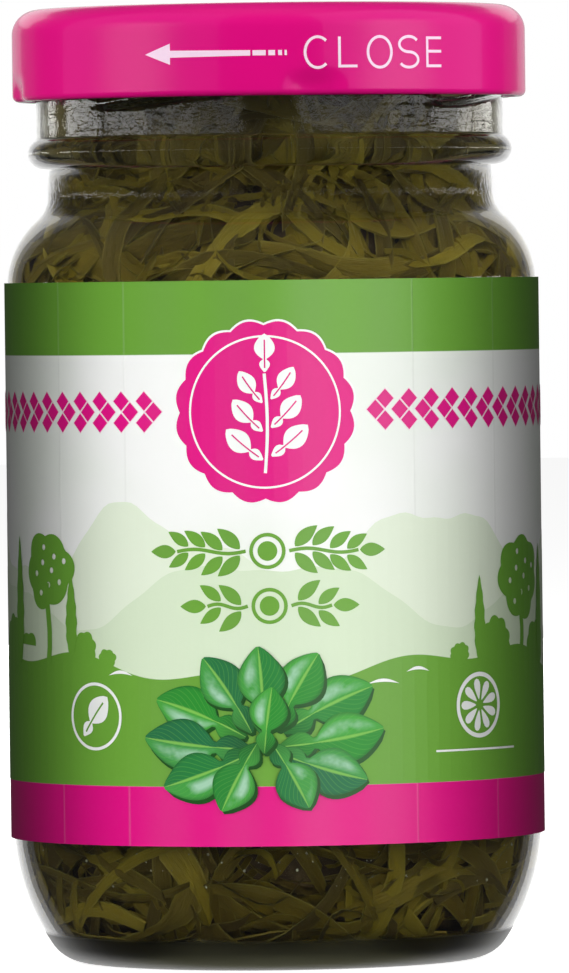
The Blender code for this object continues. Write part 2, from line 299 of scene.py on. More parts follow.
def makeWorld():
    scene = bpy.context.scene
    scene.world = bpy.data.worlds.new("studio")
    sky = Look(scene.world)
    x, y, z = sky.parts(sky.place("Generated"))
    turn = sky.node("ShaderNodeMath", {"operation": "ARCTAN2"}, {0: x, 1: 0 - y})
    top = studio["brightest"]
    stops = [((180 - angle) / 180, [part / top for part in colour]) for angle, colour in studio["surround"]]
    around = sky.node("ShaderNodeValToRGB", {"stops": stops}, {0: 1 - abs(turn) * (1 / math.pi)})
    softened = sky.mix(z.between(0.25, 0.9), around, [part / top for part in studio["zenith"]])
    grounded = sky.mix((0 - z).between(0.05, 0.16), softened, [part / top for part in studio["nadir"]])
    kinds = sky.node("ShaderNodeLightPath").socket.node.outputs
    seen, diffuse = Wire(sky, kinds["Is Camera Ray"]), Wire(sky, kinds["Is Diffuse Ray"])
    clear = Wire(sky, kinds["Is Transmission Ray"])
    contents = clear * Wire(sky, kinds["Diffuse Depth"]).between(0.4, 0.6)
    backdrop = clear * (1 - contents)
    gloss = (1 - seen) * (1 - diffuse) * (1 - clear)
    rise = z.between(-0.6, 0.9)
    through = rise * (studio["contentsHigh"] - studio["contentsLow"]) + studio["contentsLow"]
    shine = z.between(0.1, 0.7) * (studio["glossAbove"] - studio["glossLevel"]) + studio["glossLevel"]
    level = seen + diffuse * studio["skyForDiffuse"] + gloss * shine + contents * through
    background = sky.tree.nodes["Background"]
    sky.feed(background.inputs["Color"], sky.mix(backdrop, (1, 1, 1), grounded))
    sky.feed(background.inputs["Strength"], level + backdrop * top)


def makeFloor():
    bpy.ops.mesh.primitive_plane_add(size=studio["floorSize"])
    floor = bpy.context.object
    floor.name = "studioFloor"
    look = newLook("studioFloor")
    sweep = look.noise(look.place(), 3.0)
    tone = look.mix(sweep, studio["floorColour"], (0.92, 0.92, 0.91))
    look.finish(Base_Color=tone, Roughness=0.9, Emission_Color=(1.0, 1.0, 1.0))
    floor.data.materials.append(look.finish(Emission_Strength=studio["floorGlow"]))
    floor.visible_diffuse = False
    floor.visible_glossy = False
    floor.visible_transmission = False


# angle from the camera, height, distance, width and tall in mm, power in watts
softLamps = [
    {"name": "softLeft", "angle": -62, "power": 9.5},
    {"name": "softRight", "angle": 60, "power": 9.7},
    {"name": "softTop", "angle": 0, "height": 1100, "distance": 120, "width": 900, "tall": 900,
     "power": 2.6},
    {"name": "softBack", "angle": 180, "height": 260, "power": 4.0},
]
softLampShape = {"height": 180, "distance": 900, "width": 500, "tall": 700}
labelLamps = [
    {"name": "labelInnerLeft", "angle": -12, "power": 0.0046},
    {"name": "labelInnerRight", "angle": 12, "power": 0.0049},
    {"name": "labelOuterLeft", "angle": -35, "power": 0.0052},
    {"name": "labelOuterRight", "angle": 35, "power": 0.0044},
]
labelLampShape = {"height": 50, "distance": 50, "width": 10, "tall": 140, "spread": 80}
labelBack = {"name": "labelBack", "angle": 180, "height": 50, "distance": 600, "width": 300, "tall": 500,
             "power": 1.5}
# only shows as a reflection in the foot
underFoot = {"name": "underFoot", "angle": 0, "height": -60, "distance": 0, "width": 90, "tall": 90,
             "power": 0.018, "aim": 60, "colour": (1.0, 1.0, 0.62)}
# panels that only show as reflections: (name, from angle, to angle, low, high, brightness)
panelDistance = 600
lidPanels = [
    ("lidLeft", -104, -22, -100, 1400, 0.3), ("lidLeftEdge", -94, -32, -100, 1400, 0.25),
    ("lidRight", 24, 110, -100, 1400, 0.6), ("lidRightEdge", 36, 98, -100, 1400, 0.45),
    ("lidBackLeft", -180, -128, -100, 180, 0.1), ("lidBackRight", 130, 180, -100, 180, 0.1),
    ("lidRimLeft", -180, -146, -100, 180, 0.5), ("lidRimRight", 148, 180, -100, 180, 0.5),
    ("lidCornerLeft", -180, -138, 190, 420, 1.1), ("lidCornerRight", 140, 180, 190, 420, 1.0)]
glassPanels = [
    ("neckHazeLeft", -36, -14, 82, 116, 1.0), ("neckMiddleLeft", -60, -36, 82, 116, 1.7),
    ("neckLeft", -87, -60, 82, 114, 3.2), ("neckSideLeft", -118, -90, 82, 108, 4.2),
    ("neckRimLeft", -138, -128, 87, 98, 4.2), ("neckHazeRight", 14, 60, 82, 116, 1.2),
    ("neckMiddleRight", 60, 84, 82, 116, 1.9), ("neckRight", 86, 103, 82, 110, 3.4),
    ("neckSideRight", 104, 117, 82, 106, 4.2), ("neckRimRight", 118, 140, 87, 98, 4.6)]
# panels behind the jar, from an angle on either side to straight behind: (name's end, angle, brightness)
rimPanels = {
    "rimLow": {"low": -600, "high": 60, "rings": [("", 134, 0.2), ("Inner", 142, 0.45), ("Core", 149, 0.8)]},
    "rimHigh": {"low": 60, "high": 500,
                "rings": [("", 140, 0.22), ("Inner", 147, 0.28), ("Core", 153, 0.7)]},
}
labelPanels = [("labelSheen", 4, 64, -200, 400, 6.5)]
panelTints = {"lidLeft": (0.7, 0.52, 1.0), "lidRight": (0.7, 0.54, 1.0)}  # by the start of a panel's name


def addLamp(values):
    angle = math.radians(values["angle"])
    out = Vector((math.sin(angle), -math.cos(angle), 0))
    place = (out * values["distance"] + Vector((0, 0, values["height"]))) * mm
    target = Vector((0, 0, values.get("aim", min(values["height"], 60)))) * mm
    bpy.ops.object.light_add(type="AREA", location=place)
    lamp = bpy.context.object
    lamp.name = values["name"]
    lamp.rotation_euler = (target - place).to_track_quat("-Z", "Y").to_euler()
    lamp.data.shape = "RECTANGLE"
    lamp.data.size = values["width"] * mm
    lamp.data.size_y = values["tall"] * mm
    lamp.data.energy = values["power"]
    lamp.data.spread = math.radians(values.get("spread", 180))
    lamp.visible_camera = False
    lamp.visible_glossy = False
    lamp.visible_transmission = False
    return lamp


def addPanel(name, first, last, low, high, brightness):
    width = 2 * panelDistance * math.tan(math.radians(last - first) / 2)
    power = brightness * math.pi * width * (high - low) * mm * mm
    middle = (low + high) / 2
    panel = addLamp({"name": name, "angle": (first + last) / 2, "height": middle, "aim": middle,
                     "distance": panelDistance, "width": width, "tall": high - low, "power": power})
    panel.visible_diffuse = False
    panel.visible_glossy = True
    for start, tint in panelTints.items():
        if name.startswith(start):
            panel.data.color = tint
            panel.data.energy = power / tint[1]
    return panel


def bothRims():  # the rim panels of both sides
    panels = []
    for side, way in (("Left", -1), ("Right", 1)):
        for name, rim in rimPanels.items():
            for ending, angle, brightness in rim["rings"]:
                first, last = sorted((way * angle, way * 180))
                panels.append((name + side + ending, first, last, rim["low"], rim["high"], brightness))
    return panels


def newGroup(name, pieces, leftOut=False):
    group = bpy.data.collections.new(name)
    for piece in pieces:
        group.objects.link(piece)
    if leftOut:
        for entry in group.collection_objects:
            entry.light_linking.link_state = "EXCLUDE"
    return group


def linkLamps(labelPieces, lidPieces, glassPieces):
    # the label has its own lamps, near it, so that its sides darken
    allButLabel = newGroup("litBySoftLamps", labelPieces, leftOut=True)
    onlyLabel = newGroup("litByLabelLamps", labelPieces)
    onlyLid = newGroup("litByLidPanels", lidPieces)
    onlyGlass = newGroup("litByGlassPanels", glassPieces)
    for values in softLamps:
        addLamp({**softLampShape, **values}).light_linking.receiver_collection = allButLabel
    for values in labelLamps:
        addLamp({**labelLampShape, **values}).light_linking.receiver_collection = onlyLabel
    addLamp(labelBack).light_linking.receiver_collection = onlyLabel
    foot = addLamp(underFoot)
    foot.visible_diffuse = False
    foot.visible_glossy = True
    foot.data.color = underFoot["colour"]
    foot.light_linking.receiver_collection = onlyGlass
    onGlass = glassPanels + bothRims()
    for panels, group in ((lidPanels, onlyLid), (onGlass, onlyGlass), (labelPanels, onlyLabel)):
        for values in panels:
            addPanel(*values).light_linking.receiver_collection = group


makeCamera()
makeWorld()
makeFloor()
bpy.context.scene.view_settings.view_transform = "Standard"
print("studio set")


# the jar's glass

glass = {
    "steps": 144,
    "bodyRadius": 26.1, "bodyLow": 14.0, "bodyHigh": 66.4,
    "heelSweep": 22.0, "heelCurl": 4.0, "footInner": 17.4, "pushUp": 1.6,
    "shoulderCrown": 9.0, "shoulderHollow": 3.0, "neckRadius": 21.94,
    "beadHeight": 79.65, "beadCore": 22.25, "beadSection": 1.65,
    "finishRadius": 23.07, "lipHeight": 92.45, "lipRound": 0.9,
    "cavityRadius": 23.6, "cavityHeelSweep": 19.5, "cavityHeelCurl": 4.8,
    "floorHeight": 2.3, "floorCrown": 3.7, "boreRadius": 19.8,
    "cavityHigh": 63.0, "cavityCrown": 11.0, "cavityHollow": 5.0,
    "threadStarts": 4, "threadLead": 16.0, "threadSpan": 121.0,
    "threadFoot": -46.0, "threadFootHeight": 84.25,  # angle from the front, and height, of the first low end
    "threadDepth": 0.83, "threadHalf": 0.72, "threadRunOut": 9.0,
    "seamAngles": (-78, 102), "seamHalf": 0.7, "seamDepth": 0.05,
    "outerWave": 0.035, "innerWave": 0.11, "waveSize": 9.0,
    "wetBelow": 79.5,  # the brine's level, behind the bead
    "footFrom": 3.4, "footTo": 2.8,  # heights between which the foot's glass darkens: partly a tint for the thick glass, partly painted shade
}


def heelBend(radius, sweep, curl, curlHeight):  # the two arcs' centres, and the angle where the arcs meet
    reach = sweep - curl
    sweepR = radius - sweep
    drop = glass["bodyLow"] - curlHeight
    return sweepR, sweepR + math.sqrt(reach**2 - drop**2), -math.degrees(math.asin(drop / reach))


def shoulderBend(radius, crown, hollow, neck):  # the crown's centre, the rise to the hollow's, the angle
    crownR = radius - crown
    across = neck + hollow - crownR
    rise = math.sqrt((crown + hollow) ** 2 - across**2)
    return crownR, rise, math.degrees(math.atan2(rise, across))


def outerProfile():
    g = glass
    sweepR, curlR, heelAngle = heelBend(g["bodyRadius"], g["heelSweep"], g["heelCurl"], g["heelCurl"])
    crownR, rise, shoulderAngle = shoulderBend(g["bodyRadius"], g["shoulderCrown"], g["shoulderHollow"],
                                               g["neckRadius"])
    beadTop = math.degrees(math.acos((g["finishRadius"] - g["beadCore"]) / g["beadSection"]))
    heel = arc(curlR, g["heelCurl"], g["heelCurl"], -90, heelAngle, 10)
    heel += arc(sweepR, g["bodyLow"], g["heelSweep"], heelAngle, 0, 14)[1:]
    shoulder = arc(crownR, g["bodyHigh"], g["shoulderCrown"], 0, shoulderAngle, 14)
    hollowR = g["neckRadius"] + g["shoulderHollow"]
    shoulder += arc(hollowR, g["bodyHigh"] + rise, g["shoulderHollow"], 180 + shoulderAngle, 180, 8)[1:]
    bead = arc(g["beadCore"], g["beadHeight"], g["beadSection"], -100, beadTop, 18)
    lipR = g["finishRadius"] - g["lipRound"]
    lip = arc(lipR, g["lipHeight"] - g["lipRound"], g["lipRound"], 0, 90, 8)
    push = [(g["footInner"] * i / 12, g["pushUp"] * (1 - (i / 12) ** 3.2)) for i in range(12)]
    push += [(g["footInner"] - 0.12, 0.04), (g["footInner"], 0.0)]
    body = rows(heel[-1], shoulder[0], 2.5)
    finishWall = rows(bead[-1], lip[0], 0.16)
    return push + heel + body + shoulder + bead + finishWall + lip


def innerProfile():  # from the lip down to the axis at the floor
    g = glass
    curlZ = g["floorHeight"] + g["cavityHeelCurl"]
    sweepR, curlR, heelAngle = heelBend(g["cavityRadius"], g["cavityHeelSweep"], g["cavityHeelCurl"], curlZ)
    crownR, rise, shoulderAngle = shoulderBend(g["cavityRadius"], g["cavityCrown"], g["cavityHollow"],
                                               g["boreRadius"])
    lip = arc(g["boreRadius"] + g["lipRound"], g["lipHeight"] - g["lipRound"], g["lipRound"], 90, 180, 8)
    hollowR = g["boreRadius"] + g["cavityHollow"]
    shoulder = arc(hollowR, g["cavityHigh"] + rise, g["cavityHollow"], 180, 180 + shoulderAngle, 8)
    shoulder += arc(crownR, g["cavityHigh"], g["cavityCrown"], shoulderAngle, 0, 12)[1:]
    heel = arc(sweepR, g["bodyLow"], g["cavityHeelSweep"], 0, heelAngle, 12)
    heel += arc(curlR, curlZ, g["cavityHeelCurl"], heelAngle, -90, 8)[1:]
    bore = rows(lip[-1], shoulder[0], 1.0)
    body = rows(shoulder[-1], heel[0], 2.5)
    floor = [(curlR * (1 - i / 8), g["floorCrown"] - (g["floorCrown"] - g["floorHeight"]) * (1 - i / 8) ** 2)
             for i in range(1, 9)]
    return lip + bore + shoulder + body + heel + floor


def threadRise(angle, height):  # how far a thread stands out of the finish wall there
    g = glass
    tallest = 0.0
    for start in range(g["threadStarts"]):
        along = (angle - g["threadFoot"] - start * 360 / g["threadStarts"]) % 360
        if along > g["threadSpan"]:
            continue
        full = smoothStep((min(along, g["threadSpan"] - along) + 1) / g["threadRunOut"])
        middle = g["threadFootHeight"] + g["threadLead"] * along / 360
        off = abs(height - middle) / (g["threadHalf"] * (0.55 + 0.45 * full))
        tallest = max(tallest, g["threadDepth"] * full * smoothStep(1.45 - off * 1.1))
    return tallest


def wave(co, seed):
    return noise.noise(co / (glass["waveSize"] * mm) + Vector((seed, 0, 0)))


def shapeOutside(piece):
    g = glass
    bead = g["beadHeight"] + g["beadSection"]
    for vertex in piece.data.vertices:
        co = vertex.co
        radius = math.hypot(co.x, co.y)
        if radius < 5 * mm:
            continue
        height = co.z / mm
        angle = roundAngle(co)
        push = 0.0
        if bead - 0.5 < height < g["lipHeight"] - g["lipRound"] and radius > (g["finishRadius"] - 0.05) * mm:
            push += threadRise(angle, height)
        quiet = smoothStep(height / 6) * smoothStep((g["lipHeight"] - height) / 3)
        if not g["bodyLow"] - 2 < height < g["bodyHigh"] + 1:
            push += g["outerWave"] * wave(co, 0) * quiet
        for seam in g["seamAngles"]:
            off = (angle - seam + 180) % 360 - 180
            push += g["seamDepth"] * smoothStep(1 - abs(off) / g["seamHalf"]) * quiet
        grow = 1 + push * mm / radius
        vertex.co = Vector((co.x * grow, co.y * grow, co.z))


def shapeInside(piece):
    g = glass
    for vertex in piece.data.vertices:
        co = vertex.co
        radius = math.hypot(co.x, co.y)
        quiet = smoothStep(radius / (8 * mm)) * smoothStep((g["lipHeight"] - co.z / mm) / 5)
        grow = 1 + g["innerWave"] * wave(co, 40) * quiet * mm / max(radius, mm)
        vertex.co = Vector((co.x * grow, co.y * grow, co.z))


def glassLook(name, ior, smoothness, blur=0.012, foot=False):
    look = newLook(name)
    place = look.place()
    _, _, z = look.parts(place)
    swirl = look.noise(place, 140.0, 2.0)
    fine = look.noise(place, 1100.0, 3.0, 0.6)
    rings = look.noise(look.node("ShaderNodeVectorMath", {"operation": "MULTIPLY"},
                                 {0: place, 1: (0.2, 0.2, 3.0)}), 260.0, 2.0)
    neck = z.between(0.0785, 0.081)
    hollow = z.between(0.0735, 0.0745) * (1 - z.between(0.0765, 0.0775))
    height = swirl * 0.5 + fine * (neck * 0.3 + hollow * 1.2 + 0.05) + rings * neck * 0.3
    clear = (0.95, 0.965, 0.93)
    if foot:
        # painted shade in the foot: its glass darkens towards the floor, partly as a tint for the thick
        # glass
        footTintAndShade = z.between(glass["footFrom"] * mm, glass["footTo"] * mm)
        look.finish(Base_Color=look.mix(footTintAndShade, clear, (0.055, 0.057, 0.035)), Roughness=footTintAndShade * 0.4 + blur)
    else:
        look.finish(Base_Color=clear, Roughness=blur)
    look.finish(IOR=ior, Transmission_Weight=1.0, Normal=look.bump(height, smoothness))
    return look.owner


def makeGlass():
    outside = turnProfile("jarOutside", outerProfile(), glass["steps"])
    shapeOutside(outside)
    outside.data.materials.append(glassLook("glassOuter", 1.5, 0.00009, foot=True))
    inside = turnProfile("jarInside", innerProfile(), glass["steps"])
    shapeInside(inside)
    inside.data.materials.append(glassLook("glassWet", 1.125, 0.00012, blur=0.05))
    inside.data.materials.append(glassLook("glassDry", 1.5, 0.00012, blur=0.03))
    for face in inside.data.polygons:
        face.material_index = 0 if face.center.z < glass["wetBelow"] * mm else 1
    jar = joinPieces("jarGlass", [outside, inside])
    bpy.ops.object.mode_set(mode="EDIT")
    tidyMesh()
    bpy.ops.object.mode_set(mode="OBJECT")
    settle(jar, "jar", "jar_glass", "jar_glass")
    return jar


jarGlass = makeGlass()
print("glass made")


# brine, with its surface drawn up at the glass

brine = {"steps": 96, "gap": 0.18, "level": glass["wetBelow"], "meniscus": 0.5, "meniscusReach": 2.2,
         "tint": (0.63, 0.48, 0.03, 1.0), "density": 130.0}


def brineProfile():
    level, gap, crest = brine["level"], brine["gap"], brine["meniscus"]
    wall = [(r, z) for r, z in reversed(innerProfile()) if z < level + crest]
    inset = [(max(r - gap, 0.0), z + (gap if z < 6 else 0)) for r, z in wall]
    edge = wall[-1][0] - gap
    surface = [(edge - brine["meniscusReach"] * i / 6, level + crest * (1 - i / 6) ** 2) for i in range(7)]
    return inset + surface + [(edge * 0.5, level), (0.0, level)]


def makeBrine():
    piece = turnProfile("brineBody", brineProfile(), brine["steps"])
    look = newLook("brine")
    cloud = look.noise(look.place(), 60.0, 2.0)
    look.finish(Base_Color=look.mix(cloud, (1.0, 1.0, 0.97), (0.98, 1.0, 0.95)))
    look.finish(Roughness=0.0, IOR=1.0, Transmission_Weight=1.0)
    sockets = {"Color": brine["tint"], "Density": brine["density"]}
    tint = look.node("ShaderNodeVolumeAbsorption", inputs=sockets)
    look.tree.links.new(tint.socket, look.tree.nodes["Material Output"].inputs["Volume"])
    dress(piece, look.owner, "jar", "brine", "brine")


makeBrine()
print("brine made")


# shredded leaves: strips laid against the wall in layers, over a dark core

strips = {
    "top": 87.6,
    "coreDepth": 2.1,
    "picks": (0.30, 0.58),  # the share of strips at the shoulder, and that share with those at the heel
    "shoulderFrom": 63, "heelTo": 15,
    "floorFrom": 6.0,  # distance from the axis along the floor
    "kinds": [
        {"name": "leafStrips", "seed": 21, "count": 900, "lengths": (10.0, 25.0), "widths": (1.0, 2.7),
         "thickness": 0.3, "depths": (0.3, 2.4), "segments": 9, "across": 2, "slant": 48, "bow": 0.2},
        {"name": "leafShreds", "seed": 22, "count": 900, "lengths": (3.0, 10.0), "widths": (0.35, 1.1),
         "thickness": 0.22, "depths": (0.25, 2.0), "segments": 6, "across": 1, "slant": 60, "bow": 0.45},
    ],
}


def wallTrack():  # the cavity's wall from the middle of the floor up, as (distance along it, r, z)
    track = []
    run = 0.0
    last = None
    for r, z in reversed(innerProfile()):
        if last:
            run += math.hypot(r - last[0], z - last[1])
        track.append((run, r, z))
        last = (r, z)
    return track


track = wallTrack()


def trackLength(height):
    return next(run for run, r, z in track if z >= height and r > 15)


trackEnd = trackLength(strips["top"])


def wallPoint(run, depth):  # (r, z) that far along the wall and that deep behind it
    run = min(max(run, 0.1), trackEnd)
    for (runA, rA, zA), (runB, rB, zB) in zip(track, track[1:]):
        if runA <= run <= runB:
            share = (run - runA) / (runB - runA)
            length = runB - runA
            normalR, normalZ = -(zB - zA) / length, (rB - rA) / length
            return rA + (rB - rA) * share + normalR * depth, zA + (zB - zA) * share + normalZ * depth
    return 0.0, 0.0


def stripPlacer(rng, kind):
    length = rng.uniform(*kind["lengths"])
    width = rng.uniform(*kind["widths"])
    slant = math.radians(rng.gauss(0, kind["slant"]))
    pick = rng.random()
    highest = trackLength(strips["top"] - 2)
    if pick < strips["picks"][0]:  # the shoulder and neck, which the label leaves bare
        run = rng.uniform(trackLength(strips["shoulderFrom"]), highest)
    elif pick < strips["picks"][1]:  # the heel and floor
        run = rng.uniform(strips["floorFrom"], trackLength(strips["heelTo"]))
    else:
        run = rng.uniform(strips["floorFrom"], highest)
    angle = rng.uniform(0, math.tau)
    shallow, deep = kind["depths"]
    depth = shallow + (deep - shallow) * rng.random() ** 1.3
    bow = rng.uniform(-kind["bow"], kind["bow"]) * length
    sway = rng.uniform(-0.08, 0.08) * length
    dip = rng.uniform(-0.5, 1.3)
    twist = math.radians(rng.gauss(0, 24))
    cut = rng.uniform(-0.6, 0.6) * width
    curl = rng.uniform(-0.25, 0.25) * width

    def place(u, v, lift):  # u along the strip, v across it, lift out of its face in millimetres
        across = (v - 0.5) * width * (1 - 0.3 * (2 * u - 1) ** 4)
        along = (u - 0.5) * length + cut * (v - 0.5) * 2
        side = across * math.cos(twist) + bow * (1 - (2 * u - 1) ** 2) + sway * math.sin(2 * math.pi * u)
        out = across * math.sin(twist) + curl * (1 - (2 * v - 1) ** 2) + lift
        down = depth + dip * (2 * u - 1) ** 2 - out
        alongWall = along * math.cos(slant) - side * math.sin(slant)
        upWall = along * math.sin(slant) + side * math.cos(slant)
        r, z = wallPoint(run + upWall, max(down, 0.22))
        turn = angle + alongWall / max(r, 6.0)
        return Vector((r * math.sin(turn), -r * math.cos(turn), z)) * mm

    return place


def makeStrips(kind, material):
    rng = random.Random(kind["seed"])
    bpy.ops.mesh.primitive_grid_add(x_subdivisions=kind["segments"], y_subdivisions=kind["across"], size=2)
    master = bpy.context.object
    thicken(master, 1000.0)  # one unit thick, so that a copy's own thickness comes from its placing
    copies = []
    for i in range(kind["count"]):
        place = stripPlacer(rng, kind)
        tone = rng.random()
        strip = copyOf(master)
        for vertex in strip.data.vertices:
            u, v, lift = (vertex.co.x + 1) / 2, (vertex.co.y + 1) / 2, vertex.co.z * kind["thickness"]
            vertex.co = place(u, v, lift)
        setTone(strip, tone)
        copies.append(strip)
    bpy.data.objects.remove(master)
    piece = joinPieces(kind["name"], copies)
    smoothByAngle(piece, 40)
    dress(piece, material, "jar", "leaf_strips", "leaf_strips")


def stripLook():
    look = newLook("leafStrip")
    tone = look.node("ShaderNodeAttribute", {"attribute_name": "tone"}, output="Fac")
    along, across, _ = look.parts(look.place("UV"))
    place = look.place()
    mottle = look.noise(place, 260.0, 4.0, 0.6)
    drift = look.noise(place, 45.0, 2.0)
    stops = [(0.0, (0.052, 0.034, 0.014)), (0.3, (0.092, 0.066, 0.008)), (0.65, (0.15, 0.11, 0.009)),
             (0.9, (0.21, 0.16, 0.012)), (1.0, (0.29, 0.23, 0.02))]
    level = tone * 0.75 + mottle * 0.25 + drift * 0.3 - 0.15
    colour = look.node("ShaderNodeValToRGB", {"stops": stops}, {0: level})
    edge = abs(across - 0.5).between(0.4, 0.5)
    paler = look.mix(edge * 0.45, colour, (0.24, 0.2, 0.05))
    vein = look.noise(look.node("ShaderNodeVectorMath", {"operation": "MULTIPLY"},
                                {0: look.place("UV"), 1: (2.0, 14.0, 1.0)}), 3.0, 2.0)
    veined = look.mix(vein.between(0.55, 0.75) * 0.3, paler, (0.06, 0.05, 0.012))
    _, _, z = look.parts(place)
    # painted shade: strips in the neck, below the lid, are darkened where the lid's shadow falls
    shaded = look.mix(z.between(0.077, 0.083) * 0.65, veined, (0.02, 0.017, 0.007))  # under the lid
    look.finish(Base_Color=shaded, Roughness=0.45, Specular_IOR_Level=0.25)
    look.finish(Normal=look.bump(vein + mottle * 0.6, 0.0002))
    return look.owner


def makeCore():
    top = trackLength(strips["top"] - 1)
    runs = [2.0 + (top - 2.0) * i / 60 for i in range(61)]
    wall = [wallPoint(run, strips["coreDepth"]) for run in runs]
    profile = [(0.0, wall[0][1])] + wall + [(0.0, strips["top"] - 0.6)]
    piece = turnProfile("leafCore", profile, 64)
    for vertex in piece.data.vertices:
        lump = noise.noise(vertex.co / (3.5 * mm)) * 0.35
        radius = max(math.hypot(vertex.co.x, vertex.co.y), 3 * mm)
        vertex.co.x *= 1 + lump * mm / radius
        vertex.co.y *= 1 + lump * mm / radius
    look = newLook("leafCore")
    clumps = look.noise(look.place(), 320.0, 4.0, 0.6)
    shade = look.mix(clumps.between(0.4, 0.7), (0.03, 0.019, 0.017), (0.085, 0.06, 0.035))
    look.finish(Base_Color=shade, Roughness=0.7, Specular_IOR_Level=0.2)
    look.finish(Normal=look.bump(clumps, 0.0006))
    dress(piece, look.owner, "jar", "leaf_strips")


stripMaterial = stripLook()
for kind in strips["kinds"]:
    makeStrips(kind, stripMaterial)
makeCore()
print("leaves made")


# dew inside the neck above the brine, and air bubbles that cling to the glass below the label

beads = [
    {"name": "neckDew", "seed": 31, "count": 420, "low": 80.5, "high": 89.0, "radii": (0.1, 0.34),
     "sink": 0.45},
    {"name": "brineBubbles", "seed": 32, "count": 150, "low": 8.0, "high": 14.5, "radii": (0.06, 0.17),
     "sink": 1.1},
]


def makeBeads(kind, material):
    rng = random.Random(kind["seed"])
    bpy.ops.object.select_all(action="DESELECT")
    bpy.ops.mesh.primitive_ico_sphere_add(subdivisions=2, radius=1.0)
    master = bpy.context.object
    copies = []
    for i in range(kind["count"]):
        run = trackLength(kind["low"] + (kind["high"] - kind["low"]) * rng.random())
        turn = rng.uniform(0, math.tau)
        radius = kind["radii"][0] + (kind["radii"][1] - kind["radii"][0]) * rng.random() ** 3
        r, z = wallPoint(run, radius * kind["sink"] + 0.12)
        middle = Vector((r * math.sin(turn), -r * math.cos(turn), z))
        bead = copyOf(master)
        stretch = rng.uniform(0.9, 1.25)
        for vertex in bead.data.vertices:
            co = vertex.co
            vertex.co = (middle + Vector((co.x, co.y, co.z * stretch)) * radius) * mm
        copies.append(bead)
    bpy.data.objects.remove(master)
    piece = joinPieces(kind["name"], copies)
    bpy.ops.object.shade_smooth()
    dress(piece, material, "jar", "brine")


def dewLook():
    look = newLook("dew")
    cloud = look.noise(look.place(), 900.0, 2.0)
    look.finish(Base_Color=look.mix(cloud, (0.97, 0.98, 0.95), (0.9, 0.92, 0.88)))
    look.finish(Roughness=0.02, IOR=1.33, Transmission_Weight=1.0)
    return look.owner


def bubbleLook():
    look = newLook("bubble")
    cloud = look.noise(look.place(), 700.0, 2.0)
    look.finish(Base_Color=look.mix(cloud, (0.5, 0.5, 0.36), (0.75, 0.76, 0.62)), Roughness=0.1)
    look.finish(Alpha=cloud.between(0.3, 0.7) * 0.5 + 0.2, Coat_Weight=0.6)
    return look.owner


for kind, makeLook in zip(beads, (dewLook, bubbleLook)):
    makeBeads(kind, makeLook())
print("beads made")


# the twist-off lid

lid = {
    "steps": 180,
    "top": 93.85, "bottom": 84.8, "radius": 25.3, "corner": 2.5, "sheet": 0.3, "curl": 0.62,
    "skirtStep": 0.35,  # between the skirt's rows of points
    "panelDrop": 0.55, "panelEdge": 17.4, "rimEdge": 18.9,
    "buttonDrop": 0.3, "buttonRadius": 8.6, "buttonSlope": 1.4,
    "lugAngle": 10.0, "lugs": 4, "lugHalf": 7.5, "lugPress": 0.71, "lugHeight": 3.0,
}


def softStep(r0, z0, r1, z1, steps):  # an S-shaped run between two levels
    return [(r0 + (r1 - r0) * i / steps, z0 + (z1 - z0) * smoothStep(i / steps)) for i in range(steps + 1)]


def lidProfile():
    d = lid
    panel = d["top"] - d["panelDrop"]
    button = panel - d["buttonDrop"]
    ringR = d["radius"] - d["curl"]
    outside = [(0.0, button), (4.0, button)]
    outside += softStep(d["buttonRadius"], button, d["buttonRadius"] + d["buttonSlope"], panel, 6)
    outside += softStep(d["panelEdge"], panel, d["rimEdge"], d["top"], 8)
    corner = arc(d["radius"] - d["corner"], d["top"] - d["corner"], d["corner"], 90, 0, 14)
    skirt = rows(corner[-1], (d["radius"], d["bottom"] + d["curl"]), d["skirtStep"])
    curl = arc(ringR, d["bottom"] + d["curl"], d["curl"], 0, -270, 16)
    inner = d["radius"] - d["sheet"]
    curlTop = d["bottom"] + 2 * d["curl"]
    inside = rows((ringR, curlTop), (inner, curlTop + d["skirtStep"]), 0.2)
    inside += rows((inner, curlTop + d["skirtStep"]), (inner, d["top"] - d["corner"]), d["skirtStep"])
    inside += arc(d["radius"] - d["corner"], d["top"] - d["corner"], d["corner"] - d["sheet"], 0, 90, 8)
    inside += [(r + 0.1, z - d["sheet"]) for r, z in
               reversed(softStep(d["panelEdge"], panel, d["rimEdge"], d["top"], 6))]
    inside += [(r + 0.1, z - d["sheet"]) for r, z in
               reversed(softStep(d["buttonRadius"], button, d["buttonRadius"] + d["buttonSlope"], panel, 5))]
    return outside + corner + skirt + curl + inside + [(0.0, button - d["sheet"])]


def pressLugs(piece):
    d = lid
    pitch = 360 / d["lugs"]
    for vertex in piece.data.vertices:
        co = vertex.co
        rise = 1 - (co.z / mm - d["bottom"]) / d["lugHeight"]
        if rise <= 0:
            continue
        off = (roundAngle(co) - d["lugAngle"] + pitch / 2) % pitch - pitch / 2
        dent = d["lugPress"] * smoothStep(1.35 * (1 - abs(off) / d["lugHalf"])) * smoothStep(rise * 1.25)
        radius = math.hypot(co.x, co.y)
        co.x *= 1 - dent * mm / radius
        co.y *= 1 - dent * mm / radius


def lidPaint():
    look = newLook("lidPaint")
    place = look.place()
    peel = look.noise(place, 1400.0, 2.0)
    sweepNoise = look.noise(place, 60.0, 2.0)
    colour = look.mix(sweepNoise, (0.73, 0.0008, 0.2), (0.76, 0.002, 0.217))
    normal = look.bump(peel + sweepNoise * 3.0, 0.00001)
    look.finish(Base_Color=colour, Roughness=0.26, Specular_IOR_Level=0.3, Normal=normal)
    look.finish(Coat_Weight=0.3, Coat_Roughness=0.05)
    return look.owner


def lidLacquer():
    look = newLook("lidLacquer")
    cloud = look.noise(look.place(), 90.0, 2.0)
    colour = look.mix(cloud, (0.74, 0.72, 0.64), (0.8, 0.78, 0.7))
    look.finish(Base_Color=colour, Roughness=0.3, Coat_Weight=0.3)
    return look.owner


